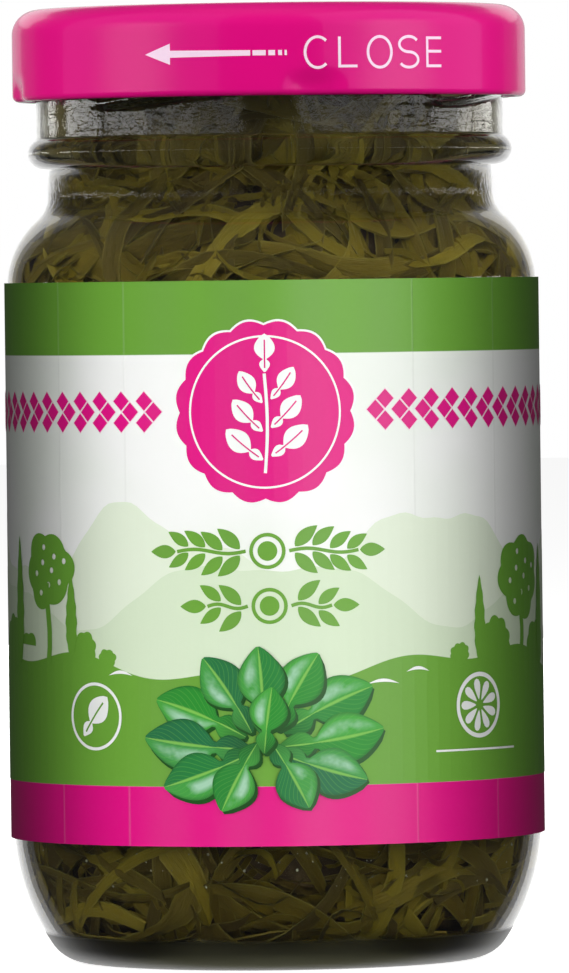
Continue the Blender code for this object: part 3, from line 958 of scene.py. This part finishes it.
def makeLid():
    piece = turnProfile("lidShell", lidProfile(), lid["steps"])
    pressLugs(piece)
    piece.data.materials.append(lidPaint())
    piece.data.materials.append(lidLacquer())
    inner = (lid["radius"] - lid["sheet"] * 0.6) * mm
    for face in piece.data.polygons:
        side = math.hypot(face.center.x, face.center.y)
        under = face.normal.z < -0.3 and face.center.z > (lid["top"] - lid["corner"] - 1) * mm
        inward = face.normal.x * face.center.x + face.normal.y * face.center.y < 0
        low = face.center.z < (lid["bottom"] + 2 * lid["curl"]) * mm
        hidden = under or (side < inner and inward and not low and face.center.z < (lid["top"] - 1) * mm)
        face.material_index = 1 if hidden else 0
    settle(piece, "lid", "lid_shell", "lid_shell")
    return piece


seal = {"inner": 19.6, "outer": 23.2, "low": 92.62, "high": 93.35, "round": 0.25, "groove": 0.07}


def makeSeal():
    s = seal
    r = s["round"]
    profile = arc(s["outer"] - r, s["low"] + r, r, 0, -90, 4)
    grooved = rows((s["outer"] - r, s["low"]), (s["inner"] + r, s["low"]), 0.2)
    width = s["outer"] - s["inner"] - 2 * r
    profile += [(x, z + s["groove"] * math.sin(math.pi * (s["outer"] - r - x) / width)) for x, z in grooved]
    profile += arc(s["inner"] + r, s["low"] + r, r, -90, -180, 4)
    profile += [(s["inner"], s["high"]), (s["outer"], s["high"])]
    piece = turnProfile("sealRing", profile, 120, closed=True)
    look = newLook("sealCompound")
    cloud = look.noise(look.place(), 400.0, 3.0)
    look.finish(Base_Color=look.mix(cloud, (0.7, 0.68, 0.6), (0.8, 0.78, 0.71)), Roughness=0.5)
    look.finish(Normal=look.bump(cloud, 0.00004))
    dress(piece, look.owner, "seal", "lid_seal", "lid_seal")


lidShell = makeLid()
makeSeal()
print("lid made")


# the closing arrow and word on the skirt, as thin strokes of ink

marks = {
    "height": 88.9, "lift": 0.02, "ink": 0.015,
    "arrowTip": -28.1, "headBase": -22.1, "headHalf": 1.02,
    "shaft": (-22.1, -4.0), "shaftHalf": (0.34, 0.26),
    "dashes": [(-3.5, -0.6), (-0.05, 1.45), (2.1, 2.95), (3.5, 4.0)], "dashHalf": 0.25,
    "letterHalf": 1.49, "stroke": 0.135,
    "letters": [("C", 8.0, 13.6), ("L", 15.7, 19.8), ("O", 22.3, 28.0), ("S", 30.0, 34.9),
                ("E", 37.4, 41.4)],
}


def onSkirt(degrees, rise):
    angle = math.radians(degrees)
    radius = (lid["radius"] + marks["lift"]) * mm
    return Vector((radius * math.sin(angle), -radius * math.cos(angle), (marks["height"] + rise) * mm))


def strokePiece(name, path, half):  # a ribbon along a path of (degrees, rise), half a width to either side
    perDegree = math.radians(lid["radius"])

    def place(u, v):
        spot = u * (len(path) - 1)
        i = min(int(spot), len(path) - 2)
        share = spot - i
        (a0, r0), (a1, r1) = path[i], path[i + 1]
        before = path[max(i - 1, 0)] if i else path[0]
        after = path[min(i + 2, len(path) - 1)]
        first = Vector(((a1 - before[0]) * perDegree, r1 - before[1])).normalized()
        second = Vector(((after[0] - a0) * perDegree, after[1] - r0)).normalized()
        way = (first * (1 - share) + second * share).normalized()
        shift = (v - 0.5) * 2 * half
        degrees = a0 + (a1 - a0) * share - way.y * shift / perDegree
        return onSkirt(degrees, r0 + (r1 - r0) * share + way.x * shift)

    return gridPiece(name, max(len(path) - 1, 1), 1, place)


def ovalPath(left, right, start, end, steps, low=-1.0, high=1.0):  # an arc of an oval in a letter's box
    middle, halfWide = (left + right) / 2, (right - left) / 2
    centre, halfTall = (low + high) / 2, (high - low) / 2
    path = []
    for i in range(steps + 1):
        a = math.radians(start + (end - start) * i / steps)
        rise = (centre + halfTall * math.sin(a)) * marks["letterHalf"]
        path.append((middle + halfWide * math.cos(a), rise))
    return path


def letterStrokes(letter, left, right):
    tall = marks["letterHalf"]
    foot = -tall + marks["stroke"]
    if letter == "C":
        return [ovalPath(left, right, 48, 312, 24)]
    if letter == "O":
        return [ovalPath(left, right, 0, 360, 32)]
    if letter == "L":
        return [[(left, tall), (left, -tall)], [(left, foot), (right, foot)]]
    if letter == "E":
        bars = [tall - marks["stroke"], 0.06, foot]
        return [[(left, tall), (left, -tall)]] + [[(left, bar), (right, bar)] for bar in bars]
    upper = ovalPath(left, right, 30, 270, 18, 0.0, 1.0)
    lower = ovalPath(left, right, 90, -150, 18, -1.0, 0.0)
    return [upper[:-1] + lower]


def straightSteps(path):  # more points along a straight stroke, so that it follows the skirt
    if len(path) > 2:
        return path
    (a0, r0), (a1, r1) = path
    return [(a0 + (a1 - a0) * i / 6, r0 + (r1 - r0) * i / 6) for i in range(7)]


def makeMarks():
    m = marks
    look = newLook("lidInk")
    wear = look.noise(look.place(), 2500.0, 2.0)
    look.finish(Base_Color=look.mix(wear, (0.98, 0.7, 0.87), (1.0, 0.78, 0.92)))
    look.finish(Roughness=0.4, Coat_Weight=0.4)

    def head(u, v):
        degrees = m["arrowTip"] + (m["headBase"] - m["arrowTip"]) * u
        return onSkirt(degrees, (v - 0.5) * 2 * m["headHalf"] * u)

    def bar(start, end, halfStart, halfEnd):
        def place(u, v):
            half = halfStart + (halfEnd - halfStart) * u
            return onSkirt(start + (end - start) * u, (v - 0.5) * 2 * half)
        return place

    pieces = [gridPiece("head", 8, 2, head)]
    pieces.append(gridPiece("shaft", 16, 1, bar(*m["shaft"], *m["shaftHalf"])))
    pieces += [gridPiece("dash", 3, 1, bar(*dash, m["dashHalf"], m["dashHalf"])) for dash in m["dashes"]]
    arrow = finishInk("closingArrow", pieces, look.owner)
    pieces = []
    for letter, left, right in m["letters"]:
        for path in letterStrokes(letter, left, right):
            pieces.append(strokePiece("stroke", straightSteps(path), m["stroke"]))
    return [arrow, finishInk("closingWord", pieces, look.owner)]


def finishInk(name, pieces, material):
    piece = joinPieces(name, pieces)
    bpy.ops.object.mode_set(mode="EDIT")
    bpy.ops.mesh.select_all(action="SELECT")
    bpy.ops.mesh.remove_doubles(threshold=1e-7)
    bpy.ops.object.mode_set(mode="OBJECT")
    thicken(piece, marks["ink"])
    smoothByAngle(piece, 30)
    dress(piece, material, "lid", "lid_shell")
    return piece


lidPieces = [lidShell] + makeMarks()
print("lid marked")


# the label: a paper sleeve with a gap at the back, and its print as thin layers of ink

label = {
    "outer": 26.36, "paper": 0.16, "low": 12.4, "high": 67.0, "gap": 14.0,
    "greenFrom": 59.9, "pinkTo": 18.2, "columns": 150, "rows": 24,
    "inkStep": 0.012, "ink": 0.008, "bendStep": 1.4,
    "folds": (-52.0, -33.0, 31.0, 54.5, 128.0, -122.0),
    "pink": (0.745, 0.0045, 0.225), "green": (0.147, 0.366, 0.041), "white": (0.92, 0.93, 0.91),
    "paleHill": (0.66, 0.78, 0.57), "paperWash": (0.83, 0.89, 0.80),
}
labelPieces = []


def onLabel(arcLength, height, layer):  # layer counts steps of ink above the paper
    radius = label["outer"] + layer * label["inkStep"]
    turn = arcLength / label["outer"]
    return Vector((radius * math.sin(turn), -radius * math.cos(turn), height)) * mm


def keepLabelPiece(piece, material, *replaced):
    dress(piece, material, "jar", "label", *replaced)
    labelPieces.append(piece)


def makePaper():
    half = math.radians(180 - label["gap"] / 2) * label["outer"]

    def place(u, v):
        return onLabel((2 * u - 1) * half, label["low"] + (label["high"] - label["low"]) * v, 0)

    piece = gridPiece("labelPaper", label["columns"], label["rows"], place)
    thicken(piece, label["paper"])
    smoothByAngle(piece, 30)
    keepLabelPiece(piece, paperLook(), "label")


def paperLook():
    look = newLook("labelPaper")
    place = look.place()
    x, y, z = look.parts(place)
    turn = look.node("ShaderNodeMath", {"operation": "ARCTAN2"}, {0: x, 1: 0 - y}) * math.degrees(1)
    fibre = look.noise(place, 2200.0, 3.0, 0.6)
    cloud = look.noise(place, 55.0, 2.0)
    wash = look.mix(cloud.between(0.42, 0.62) * 0.7, label["white"], label["paperWash"])
    crisp = 0.00004
    green = z.between(label["greenFrom"] * mm - crisp, label["greenFrom"] * mm + crisp)
    pink = 1 - z.between(label["pinkTo"] * mm - crisp, label["pinkTo"] * mm + crisp)
    printed = look.mix(pink, look.mix(green, wash, label["green"]), label["pink"])
    crease = 0.0
    for fold in label["folds"]:
        crease = crease + (1 - (abs(turn - fold)).between(0.0, 0.35))
    worn = look.mix(crease * 0.12, printed, (0.5, 0.52, 0.48))
    grain = look.mix(fibre.between(0.45, 0.75) * 0.004, worn, (0.9, 0.9, 0.86))
    look.finish(Base_Color=grain, Roughness=0.33, Specular_IOR_Level=0.12)
    return look.finish(Normal=look.bump(fibre * 0.3 + crease, 0.00002))


def inkLook(name, colour, fleck):
    look = newLook(name)
    place = look.place()
    dots = look.noise(place, 2600.0, 2.0, 0.6)
    cloud = look.noise(place, 80.0, 2.0)
    shade = look.mix(dots.between(0.5, 0.8) * 0.1 + cloud * 0.08, colour, fleck)
    look.finish(Base_Color=shade, Roughness=0.33, Specular_IOR_Level=0.12)
    return look.finish(Normal=look.bump(dots, 0.000006))


def printShapes(name, outlines, material, layer):  # an outline inside another is a hole
    flat = bpy.data.curves.new(name, "CURVE")
    flat.dimensions = "2D"
    flat.fill_mode = "BOTH"
    for outline in outlines:
        spline = flat.splines.new("POLY")
        spline.points.add(len(outline) - 1)
        for point, (across, height) in zip(spline.points, outline):
            point.co = (across * mm, height * mm, 0, 1)
        spline.use_cyclic_u = True
    piece = bpy.data.objects.new(name, flat)
    bpy.context.scene.collection.objects.link(piece)
    selectOnly(piece)
    bpy.ops.object.convert(target="MESH")
    bpy.ops.object.mode_set(mode="EDIT")
    bpy.ops.mesh.select_all(action="SELECT")
    bpy.ops.mesh.remove_doubles(threshold=1e-7)
    bpy.ops.mesh.normals_make_consistent(inside=False)
    spread = [across for outline in outlines for across, height in outline]
    first, last = (math.ceil(edge / label["bendStep"]) for edge in (min(spread), max(spread)))
    for i in range(first, last):
        bpy.ops.mesh.select_all(action="SELECT")
        bpy.ops.mesh.bisect(plane_co=(i * label["bendStep"] * mm, 0, 0), plane_no=(1, 0, 0))
    bpy.ops.object.mode_set(mode="OBJECT")
    if sum(face.normal.z * face.area for face in piece.data.polygons) < 0:
        piece.data.flip_normals()
    for vertex in piece.data.vertices:
        vertex.co = onLabel(vertex.co.x / mm, vertex.co.y / mm, layer)
    thicken(piece, label["ink"])
    keepLabelPiece(piece, material)


def ringOutline(across, height, radius, steps=40, lobes=0, depth=0.0):
    points = []
    for i in range(steps):
        turn = math.tau * i / steps
        reach = radius + depth * abs(math.sin(turn * lobes / 2))
        points.append((across + reach * math.cos(turn), height + reach * math.sin(turn)))
    return points


def leafHalf(u):  # a makrut leaf's half width along it: winged stalk, waist, blade
    if u < 0.34:
        return 0.08 + 0.44 * math.sin(math.pi * (u / 0.34) ** 1.35) ** 0.75
    return 0.08 + 0.92 * math.sin(math.pi * ((u - 0.34) / 0.66) ** 0.84) ** 0.85 if u < 1 else 0.0


def leafSpine(base, heading, bend, length, u):  # the point u of the way along a bent midrib, and its heading
    turn = math.radians(heading + bend * u)
    middle = math.radians(heading + bend * u / 2)
    return base[0] + length * u * math.cos(middle), base[1] + length * u * math.sin(middle), turn


def plainHalf(u):  # a simple leaf, pointed at both ends
    return math.sin(math.pi * min(u, 1.0) ** 0.85) ** 0.9 if 0 < u < 1 else 0.0


def leafOutline(base, heading, length, width, bend=0.0, steps=18, shape=leafHalf):
    sides = ([], [])
    for i in range(steps + 1):
        u = i / steps
        across, height, turn = leafSpine(base, heading, bend, length, u)
        half = width / 2 * shape(u)
        for side, sign in zip(sides, (1, -1)):
            side.append((across - sign * half * math.sin(turn), height + sign * half * math.cos(turn)))
    return sides[0] + sides[1][-2::-1]


def ribOutline(base, heading, length, bend=0.0, half=0.07, steps=10):  # a thin gap along a leaf's midrib
    points = []
    for i in range(steps + 1):
        across, height, _ = leafSpine(base, heading, bend, length, 0.1 + 0.74 * i / steps)
        points.append((across, height))
    return bandOutline(points, half)


def bandOutline(points, half):  # a line of even width through points
    sides = ([], [])
    for i, (across, height) in enumerate(points):
        before, after = points[max(i - 1, 0)], points[min(i + 1, len(points) - 1)]
        way = Vector((after[0] - before[0], after[1] - before[1])).normalized()
        for side, sign in zip(sides, (1, -1)):
            side.append((across - sign * half * way.y, height + sign * half * way.x))
    return sides[0] + sides[1][::-1]


def diamondOutline(across, height, halfWide, halfTall):
    return [(across + halfWide, height), (across, height + halfTall), (across - halfWide, height),
            (across, height - halfTall)]


diamonds = {
    "height": 54.4, "pitch": 2.6, "count": 16, "offset": 1.05, "nest": 1.03,
    "halfWide": 0.9, "halfTall": 0.93, "rim": 0.11, "starts": ((-12.95, -1), (11.15, 1)),
}


def makeDiamonds(inks):
    d = diamonds
    centres = []
    for start, way in d["starts"]:
        for i in range(d["count"]):
            across = start + way * i * d["pitch"]
            centres += [(across, d["height"] + d["offset"]), (across, d["height"] - d["offset"]),
                        (across - way * d["nest"], d["height"])]
    body = [diamondOutline(*centre, d["halfWide"], d["halfTall"]) for centre in centres]
    rim = d["rim"]
    edges = []
    for centre in centres:
        edges.append(diamondOutline(*centre, d["halfWide"] + rim, d["halfTall"] + rim))
    printShapes("diamondRims", edges, inks["blush"], 3)
    printShapes("diamondRow", body, inks["pink"], 4)


badge = {"across": -0.8, "height": 54.3, "radius": 8.35, "lobes": 16, "depth": 0.5, "rim": 0.22,
         "line": (7.4, 7.2), "leaf": (4.6, 2.1), "stem": (48.4, 58.0), "pairs": 3, "spacing": 2.75}


def makeBadge(inks):
    b = badge
    centre = (b["across"], b["height"])
    for name, radius, ink, layer in (("badgeRim", b["radius"] + b["rim"], "white", 4),
                                     ("badgeDisc", b["radius"], "pink", 5)):
        edge = ringOutline(*centre, radius, 192, b["lobes"], b["depth"])
        printShapes(name, [edge], inks[ink], layer)
    low, high = b["stem"]
    stem = [(b["across"] + 0.25 * math.sin(i / 9 * math.pi), low + (high - low) * i / 9) for i in range(10)]
    shapes = []
    for i in range(b["pairs"]):
        for way in (-1, 1):
            heading = 90 - way * (56 - 7 * i)
            base = (b["across"] + 0.2 + way * 0.42, low + 1.3 + b["spacing"] * i + 0.35 * (way > 0))
            size = 1 - 0.09 * i
            shapes.append(leafOutline(base, heading, b["leaf"][0] * size, b["leaf"][1] * size, way * 12))
            shapes.append(ribOutline(base, heading, b["leaf"][0] * size, way * 12))
    top = (b["across"] + 0.05, high + 0.15)
    shapes += [leafOutline(top, 90, 3.7, 2.0), ribOutline(top, 90, 3.7)]
    lines = [ringOutline(*centre, radius, 96) for radius in b["line"]]
    printShapes("badgeLine", lines, inks["white"], 6)
    printShapes("badgeSprig", shapes, inks["white"], 6)
    printShapes("badgeStem", [bandOutline(stem, 0.15)], inks["white"], 7)


garlands = {  # rows of two branches that part at a round fruit
    "rows": [  # with the pairs of leaves on each branch
        {"name": "garlandUpper", "from": -12.2, "to": 10.8, "height": 40.9, "pairs": 4},
        {"name": "garlandLower", "from": -9.2, "to": 8.1, "height": 35.6, "pairs": 2}],
    "leaf": (3.0, 1.3), "tip": 2.6, "spread": 50.0, "stem": 0.17, "sway": 0.22,
    "fruit": (1.75, 1.4, 0.95), "parting": 2.1,
}


def makeGarlands(inks):
    g = garlands
    for values in g["rows"]:
        middle = (values["from"] + values["to"]) / 2
        reach = (values["to"] - values["from"]) / 2 - g["parting"] - g["tip"]
        leaves, stems = [], []
        for way in (-1, 1):
            facing = 90 - 90 * way
            stem = []
            for i in range(13):
                sway = g["sway"] * math.sin(math.tau * i / 12) * way
                stem.append((middle + way * (g["parting"] + reach * i / 12), values["height"] + sway))
            stems.append(bandOutline(stem, g["stem"]))
            for i in range(values["pairs"]):
                share = (i + 0.25) / values["pairs"]
                base = stem[round(share * 12)]
                size = 1 - 0.22 * share
                for side in (-1, 1):
                    heading = facing + side * g["spread"] * (1 - 0.2 * share)
                    start = (base[0], base[1] + side * way * g["stem"] * 1.8)
                    length, width = g["leaf"][0] * size, g["leaf"][1] * size
                    leaves.append(leafOutline(start, heading, length, width, -side * 14, shape=plainHalf))
            start = (stem[-1][0] + way * 0.15, stem[-1][1])
            leaves.append(leafOutline(start, facing, g["tip"], g["leaf"][1], shape=plainHalf))
        rings = [ringOutline(middle, values["height"], radius, 36) for radius in g["fruit"]]
        printShapes(values["name"] + "Leaves", leaves, inks["green"], 4)
        printShapes(values["name"] + "Stems", stems + rings, inks["green"], 5)


land = {
    "hills": [  # (height, swell, period in mm, shift) of each hill line, far to near
        (41.5, 3.4, 31.0, 9.0), (37.0, 3.0, 43.0, -12.0)],
    "ground": 29.6, "groundSwell": 1.9, "groundPeriod": 52.0,
    "bushes": [(-35.5, 3.1), (-30.6, 2.3), (-20.6, 1.7), (-17.6, 1.1), (19.6, 1.3), (25.0, 2.7), (34.5, 3.0),
               (44.0, 3.4), (57.0, 3.0), (70.0, 3.2), (-47.0, 3.4), (-60.0, 3.0), (-71.0, 3.2)],
    "trees": [(-26.2, 12.0, 4.2), (30.0, 10.5, 4.6), (50.5, 9.0, 3.8), (-54.0, 9.5, 4.0)],
    "poplars": [(-32.6, 12.5, 2.0), (-22.4, 8.2, 1.6), (22.4, 8.5, 1.6), (35.8, 12.0, 2.2),
                (63.5, 10.0, 2.0), (-65.5, 11.0, 2.0)],
    "glints": [(7.5, 27.3, 2.6), (10.6, 27.9, 3.4), (14.4, 29.0, 2.6), (-16.0, 28.9, 2.8)],
}


def groundHeight(across):
    wave1 = math.cos(math.tau * (across + 2) / land["groundPeriod"])
    wave2 = math.sin(math.tau * across / 17.0) * 0.35
    return land["ground"] - land["groundSwell"] * (0.6 * wave1 + wave2)


def hillHeight(across, values):
    height, swell, period, shift = values
    turn = math.tau * (across - shift) / period
    slow = height + swell * math.sin(turn) + 0.35 * swell * math.sin(2.3 * turn + 1)
    return slow + 0.12 * math.sin(9 * turn)


def skyline(heightAt, low, half):
    top = [(half - 2 * half * i / 240, heightAt(half - 2 * half * i / 240)) for i in range(241)]
    return [(-half, low), (half, low)] + top


def bushOutline(across, height, radius, rng):
    lumps = rng.randrange(6, 10)
    turn = rng.uniform(0, 6)
    points = []
    for i in range(64):
        a = math.tau * i / 64
        reach = radius * (0.86 + 0.14 * abs(math.sin(a * lumps / 2 + turn)) + 0.05 * math.sin(3 * a + turn))
        points.append((across + reach * math.cos(a), height + reach * math.sin(a) * 0.92))
    return points


def makeLand(inks):
    half = math.radians(180 - label["gap"] / 2) * label["outer"] - 0.1
    for i, values in enumerate(land["hills"]):
        outline = skyline(lambda across: hillHeight(across, values), label["pinkTo"], half)
        printShapes("hillLine" + str(i), [outline], inks["hill" + str(i)], 1 + i)
    ground = skyline(groundHeight, label["pinkTo"], half)
    printShapes("ground", [ground], inks["green"], 3)
    rng = random.Random(5)
    bushes = [bushOutline(across, groundHeight(across) + radius * 0.35, radius, rng)
              for across, radius in land["bushes"]]
    printShapes("bushes", bushes, inks["green"], 4)
    crowns, fruits, trunks = [], [], []
    for across, tall, radius in land["trees"]:
        foot = groundHeight(across) - 0.6
        middle = foot + tall - radius * 0.7
        crowns.append(bushOutline(across, middle, radius, rng))
        for i in range(9):
            turn, reach = i * 2.4, radius * 0.72 * math.sqrt((i + 0.5) / 9)
            spot = (across + reach * math.cos(turn), middle + reach * math.sin(turn) * 0.9)
            fruits.append(ringOutline(*spot, 0.3, 14))
        stem = [(across + 0.25 * math.sin(i), foot + (tall - radius) * i / 5) for i in range(6)]
        trunks.append(bandOutline(stem, 0.4))
    printShapes("treeCrowns", crowns + fruits, inks["green"], 6)
    printShapes("treeTrunks", trunks, inks["green"], 5)
    poplars = []
    for across, tall, width in land["poplars"]:
        foot = groundHeight(across) - 0.5
        sides = [width / 2 * math.sin(math.pi * (i / 20) ** 0.7) ** 0.8 * (1 + 0.1 * math.sin(i * 1.7))
                 for i in range(1, 20)]
        right = [(across + side, foot + tall * (i + 1) / 20) for i, side in enumerate(sides)]
        left = [(across - side, height) for (edge, height), side in zip(right, sides)]
        poplars.append([(across, foot)] + right + [(across, foot + tall)] + left[::-1])
    printShapes("poplars", poplars, inks["green"], 7)
    glints = []
    for across, height, length in land["glints"]:
        arcPoints = [(across + length * (i / 12 - 0.5), height + 0.5 * math.sin(math.pi * i / 12))
                     for i in range(13)]
        under = [(s, h - 0.32 * math.sin(math.pi * i / 12)) for i, (s, h) in enumerate(arcPoints)]
        glints.append(arcPoints + under[-2:0:-1])
    printShapes("groundGlints", glints, inks["white"], 8)


emblems = {"left": (-19.2, 24.9, 3.3), "right": (22.2, 25.5, 3.2), "rule": (16.4, 28.0, 21.2),
           "ruleHalf": 0.1}


def makeEmblems(inks):
    across, height, radius = emblems["left"]
    rings = [ringOutline(across, height, radius, 56), ringOutline(across, height, radius - 0.3, 56)]
    leaf = leafOutline((across - 1.5, height - 1.9), 56, 4.9, 2.5, -10)
    across2, height2, radius2 = emblems["right"]
    rings += [ringOutline(across2, height2, radius2, 56), ringOutline(across2, height2, radius2 - 0.42, 56)]
    wedges = []
    for i in range(9):
        turn = math.tau * (i + 0.5) / 9
        centre = (across2 + 1.55 * math.cos(turn), height2 + 1.55 * math.sin(turn))
        wedge = []
        for j in range(14):
            a = math.tau * j / 14
            along, side = 1.02 * math.cos(a), 0.62 * math.sin(a) * (0.62 + 0.38 * math.cos(a))
            wedge.append((centre[0] + along * math.cos(turn) - side * math.sin(turn),
                          centre[1] + along * math.sin(turn) + side * math.cos(turn)))
        wedges.append(wedge)
    start, end, ruleHeight = emblems["rule"]
    low, high = ruleHeight - emblems["ruleHalf"], ruleHeight + emblems["ruleHalf"]
    rule = [(start, low), (end, low), (end, high), (start, high)]
    printShapes("emblems", rings + wedges + [rule], inks["white"], 8)
    rib = ribOutline((across - 1.5, height - 1.9), 56, 4.9, -10, 0.1)
    printShapes("emblemLeaf", [leaf, rib], inks["white"], 8)


backPanel = {"from": 47.0, "to": 74.0, "low": 24.0, "high": 50.5, "corner": 1.6, "frame": 0.35}


def makeBackPanel(inks):
    b = backPanel

    def rounded(inset):
        corner = b["corner"] - inset
        outline = []
        for across, height, start in ((b["to"], b["high"], 0), (b["from"], b["high"], 90),
                                      (b["from"], b["low"], 180), (b["to"], b["low"], 270)):
            middleS = across - b["corner"] if start in (0, 270) else across + b["corner"]
            middleZ = height - b["corner"] if start in (0, 90) else height + b["corner"]
            outline += arc(middleS, middleZ, corner, start, start + 90, 6)
        return outline

    printShapes("backPanel", [rounded(0)], inks["white"], 9)
    printShapes("backPanelFrame", [rounded(0.5), rounded(0.5 + b["frame"])], inks["green"], 10)


spray = {  # the pictured leaves: (across, height, heading, length, width, bend), back to front
    "leaves": [
        (-3.0, 23.0, 150, 9.6, 4.8, 16), (0.6, 23.4, 34, 9.8, 4.8, -16), (-2.4, 23.4, 117, 8.6, 4.4, 12),
        (0.0, 23.6, 66, 8.4, 4.4, -10), (-1.2, 23.0, 91, 8.7, 4.6, 5), (-2.4, 21.8, 178, 10.8, 4.9, -8),
        (0.2, 22.0, 4, 10.4, 4.9, 10), (-2.2, 21.6, 207, 9.6, 4.6, -12), (-0.2, 21.6, -24, 9.4, 4.6, 12),
        (-1.9, 22.4, 238, 7.4, 4.2, 8), (-0.5, 22.4, -57, 7.2, 4.1, -8), (-1.2, 21.4, 86, 6.4, 3.7, -6)],
    "firstLayer": 11, "layerStep": 1.6, "shadowShift": (0.22, -0.3),
}


def makeSpray(inks):
    look = sprayLook()
    shiftS, shiftZ = spray["shadowShift"]
    for number, (across, height, heading, length, width, bend) in enumerate(spray["leaves"]):
        layer = spray["firstLayer"] + number * spray["layerStep"]

        def place(u, v):
            spotS, spotZ, turn = leafSpine((across, height), heading, bend, length, u)
            half = width / 2 * leafHalf(min(u, 0.9999)) * (2 * v - 1)
            return onLabel(spotS - half * math.sin(turn), spotZ + half * math.cos(turn), layer)

        shadow = leafOutline((across + shiftS, height + shiftZ), heading, length, width * 1.04, bend)
        printShapes("sprayShadow" + str(number), [shadow], inks["shadow"], layer - 0.8)
        piece = gridPiece("sprayLeaf" + str(number), 28, 6, place)
        setTone(piece, (number * 0.37) % 1.0)
        thicken(piece, label["ink"])
        keepLabelPiece(piece, look)


def sprayLook():
    look = newLook("sprayLeaf")
    tone = look.node("ShaderNodeAttribute", {"attribute_name": "tone"}, output="Fac")
    along, across, _ = look.parts(look.place("UV"))
    off = abs(across - 0.5) * 2
    cloud = look.noise(look.place(), 420.0, 3.0)
    body = look.mix(tone.between(0.2, 0.9), (0.022, 0.27, 0.028), (0.014, 0.16, 0.06))
    halves = look.mix(across.between(0.5, 0.56) * 0.5, body, (0.09, 0.46, 0.06))
    shaded = look.mix((1 - along.between(0.0, 0.4)) * 0.6, halves, (0.005, 0.06, 0.012))
    sideVein = look.node("ShaderNodeMath", {"operation": "SINE"}, {0: (along * 2.0 - off * 0.7) * 38.0})
    veined = look.mix(sideVein.between(0.8, 1.0) * 0.3, shaded, (0.14, 0.46, 0.06))
    glint = (1 - abs(across - 0.72).between(0.04, 0.16)) * (1 - abs(along - 0.62).between(0.1, 0.32))
    lit = look.mix(glint * cloud.between(0.36, 0.6) * 0.75, veined, (0.46, 0.7, 0.56))
    dark = look.mix(off.between(0.82, 1.0) * 0.55, lit, (0.006, 0.085, 0.014))
    ribbed = look.mix((1 - off.between(0.03, 0.09)) * 0.8, dark, (0.24, 0.56, 0.09))
    look.finish(Base_Color=ribbed, Roughness=0.4, Specular_IOR_Level=0.12)
    return look.finish(Normal=look.bump(cloud, 0.000006))


def makeLabel():
    makePaper()
    inks = {
        "pink": inkLook("inkPink", label["pink"], (0.8, 0.03, 0.3)),
        "blush": inkLook("inkBlush", (0.9, 0.72, 0.78), (0.9, 0.8, 0.84)),
        "green": inkLook("inkGreen", label["green"], (0.2, 0.45, 0.07)),
        "shadow": inkLook("inkShadow", (0.012, 0.085, 0.012), (0.02, 0.11, 0.02)),
        "white": inkLook("inkWhite", (0.9, 0.92, 0.9), (0.82, 0.84, 0.82)),
        "hill0": inkLook("inkFarHill", (0.76, 0.85, 0.68), (0.8, 0.88, 0.74)),
        "hill1": inkLook("inkNearHill", label["paleHill"], (0.72, 0.83, 0.64)),
    }
    makeLand(inks)
    makeDiamonds(inks)
    makeBadge(inks)
    makeGarlands(inks)
    makeEmblems(inks)
    makeBackPanel(inks)
    makeSpray(inks)


makeLabel()
print("label printed")


# lamps for the label, the lid and the glass

linkLamps(labelPieces, lidPieces, [jarGlass])
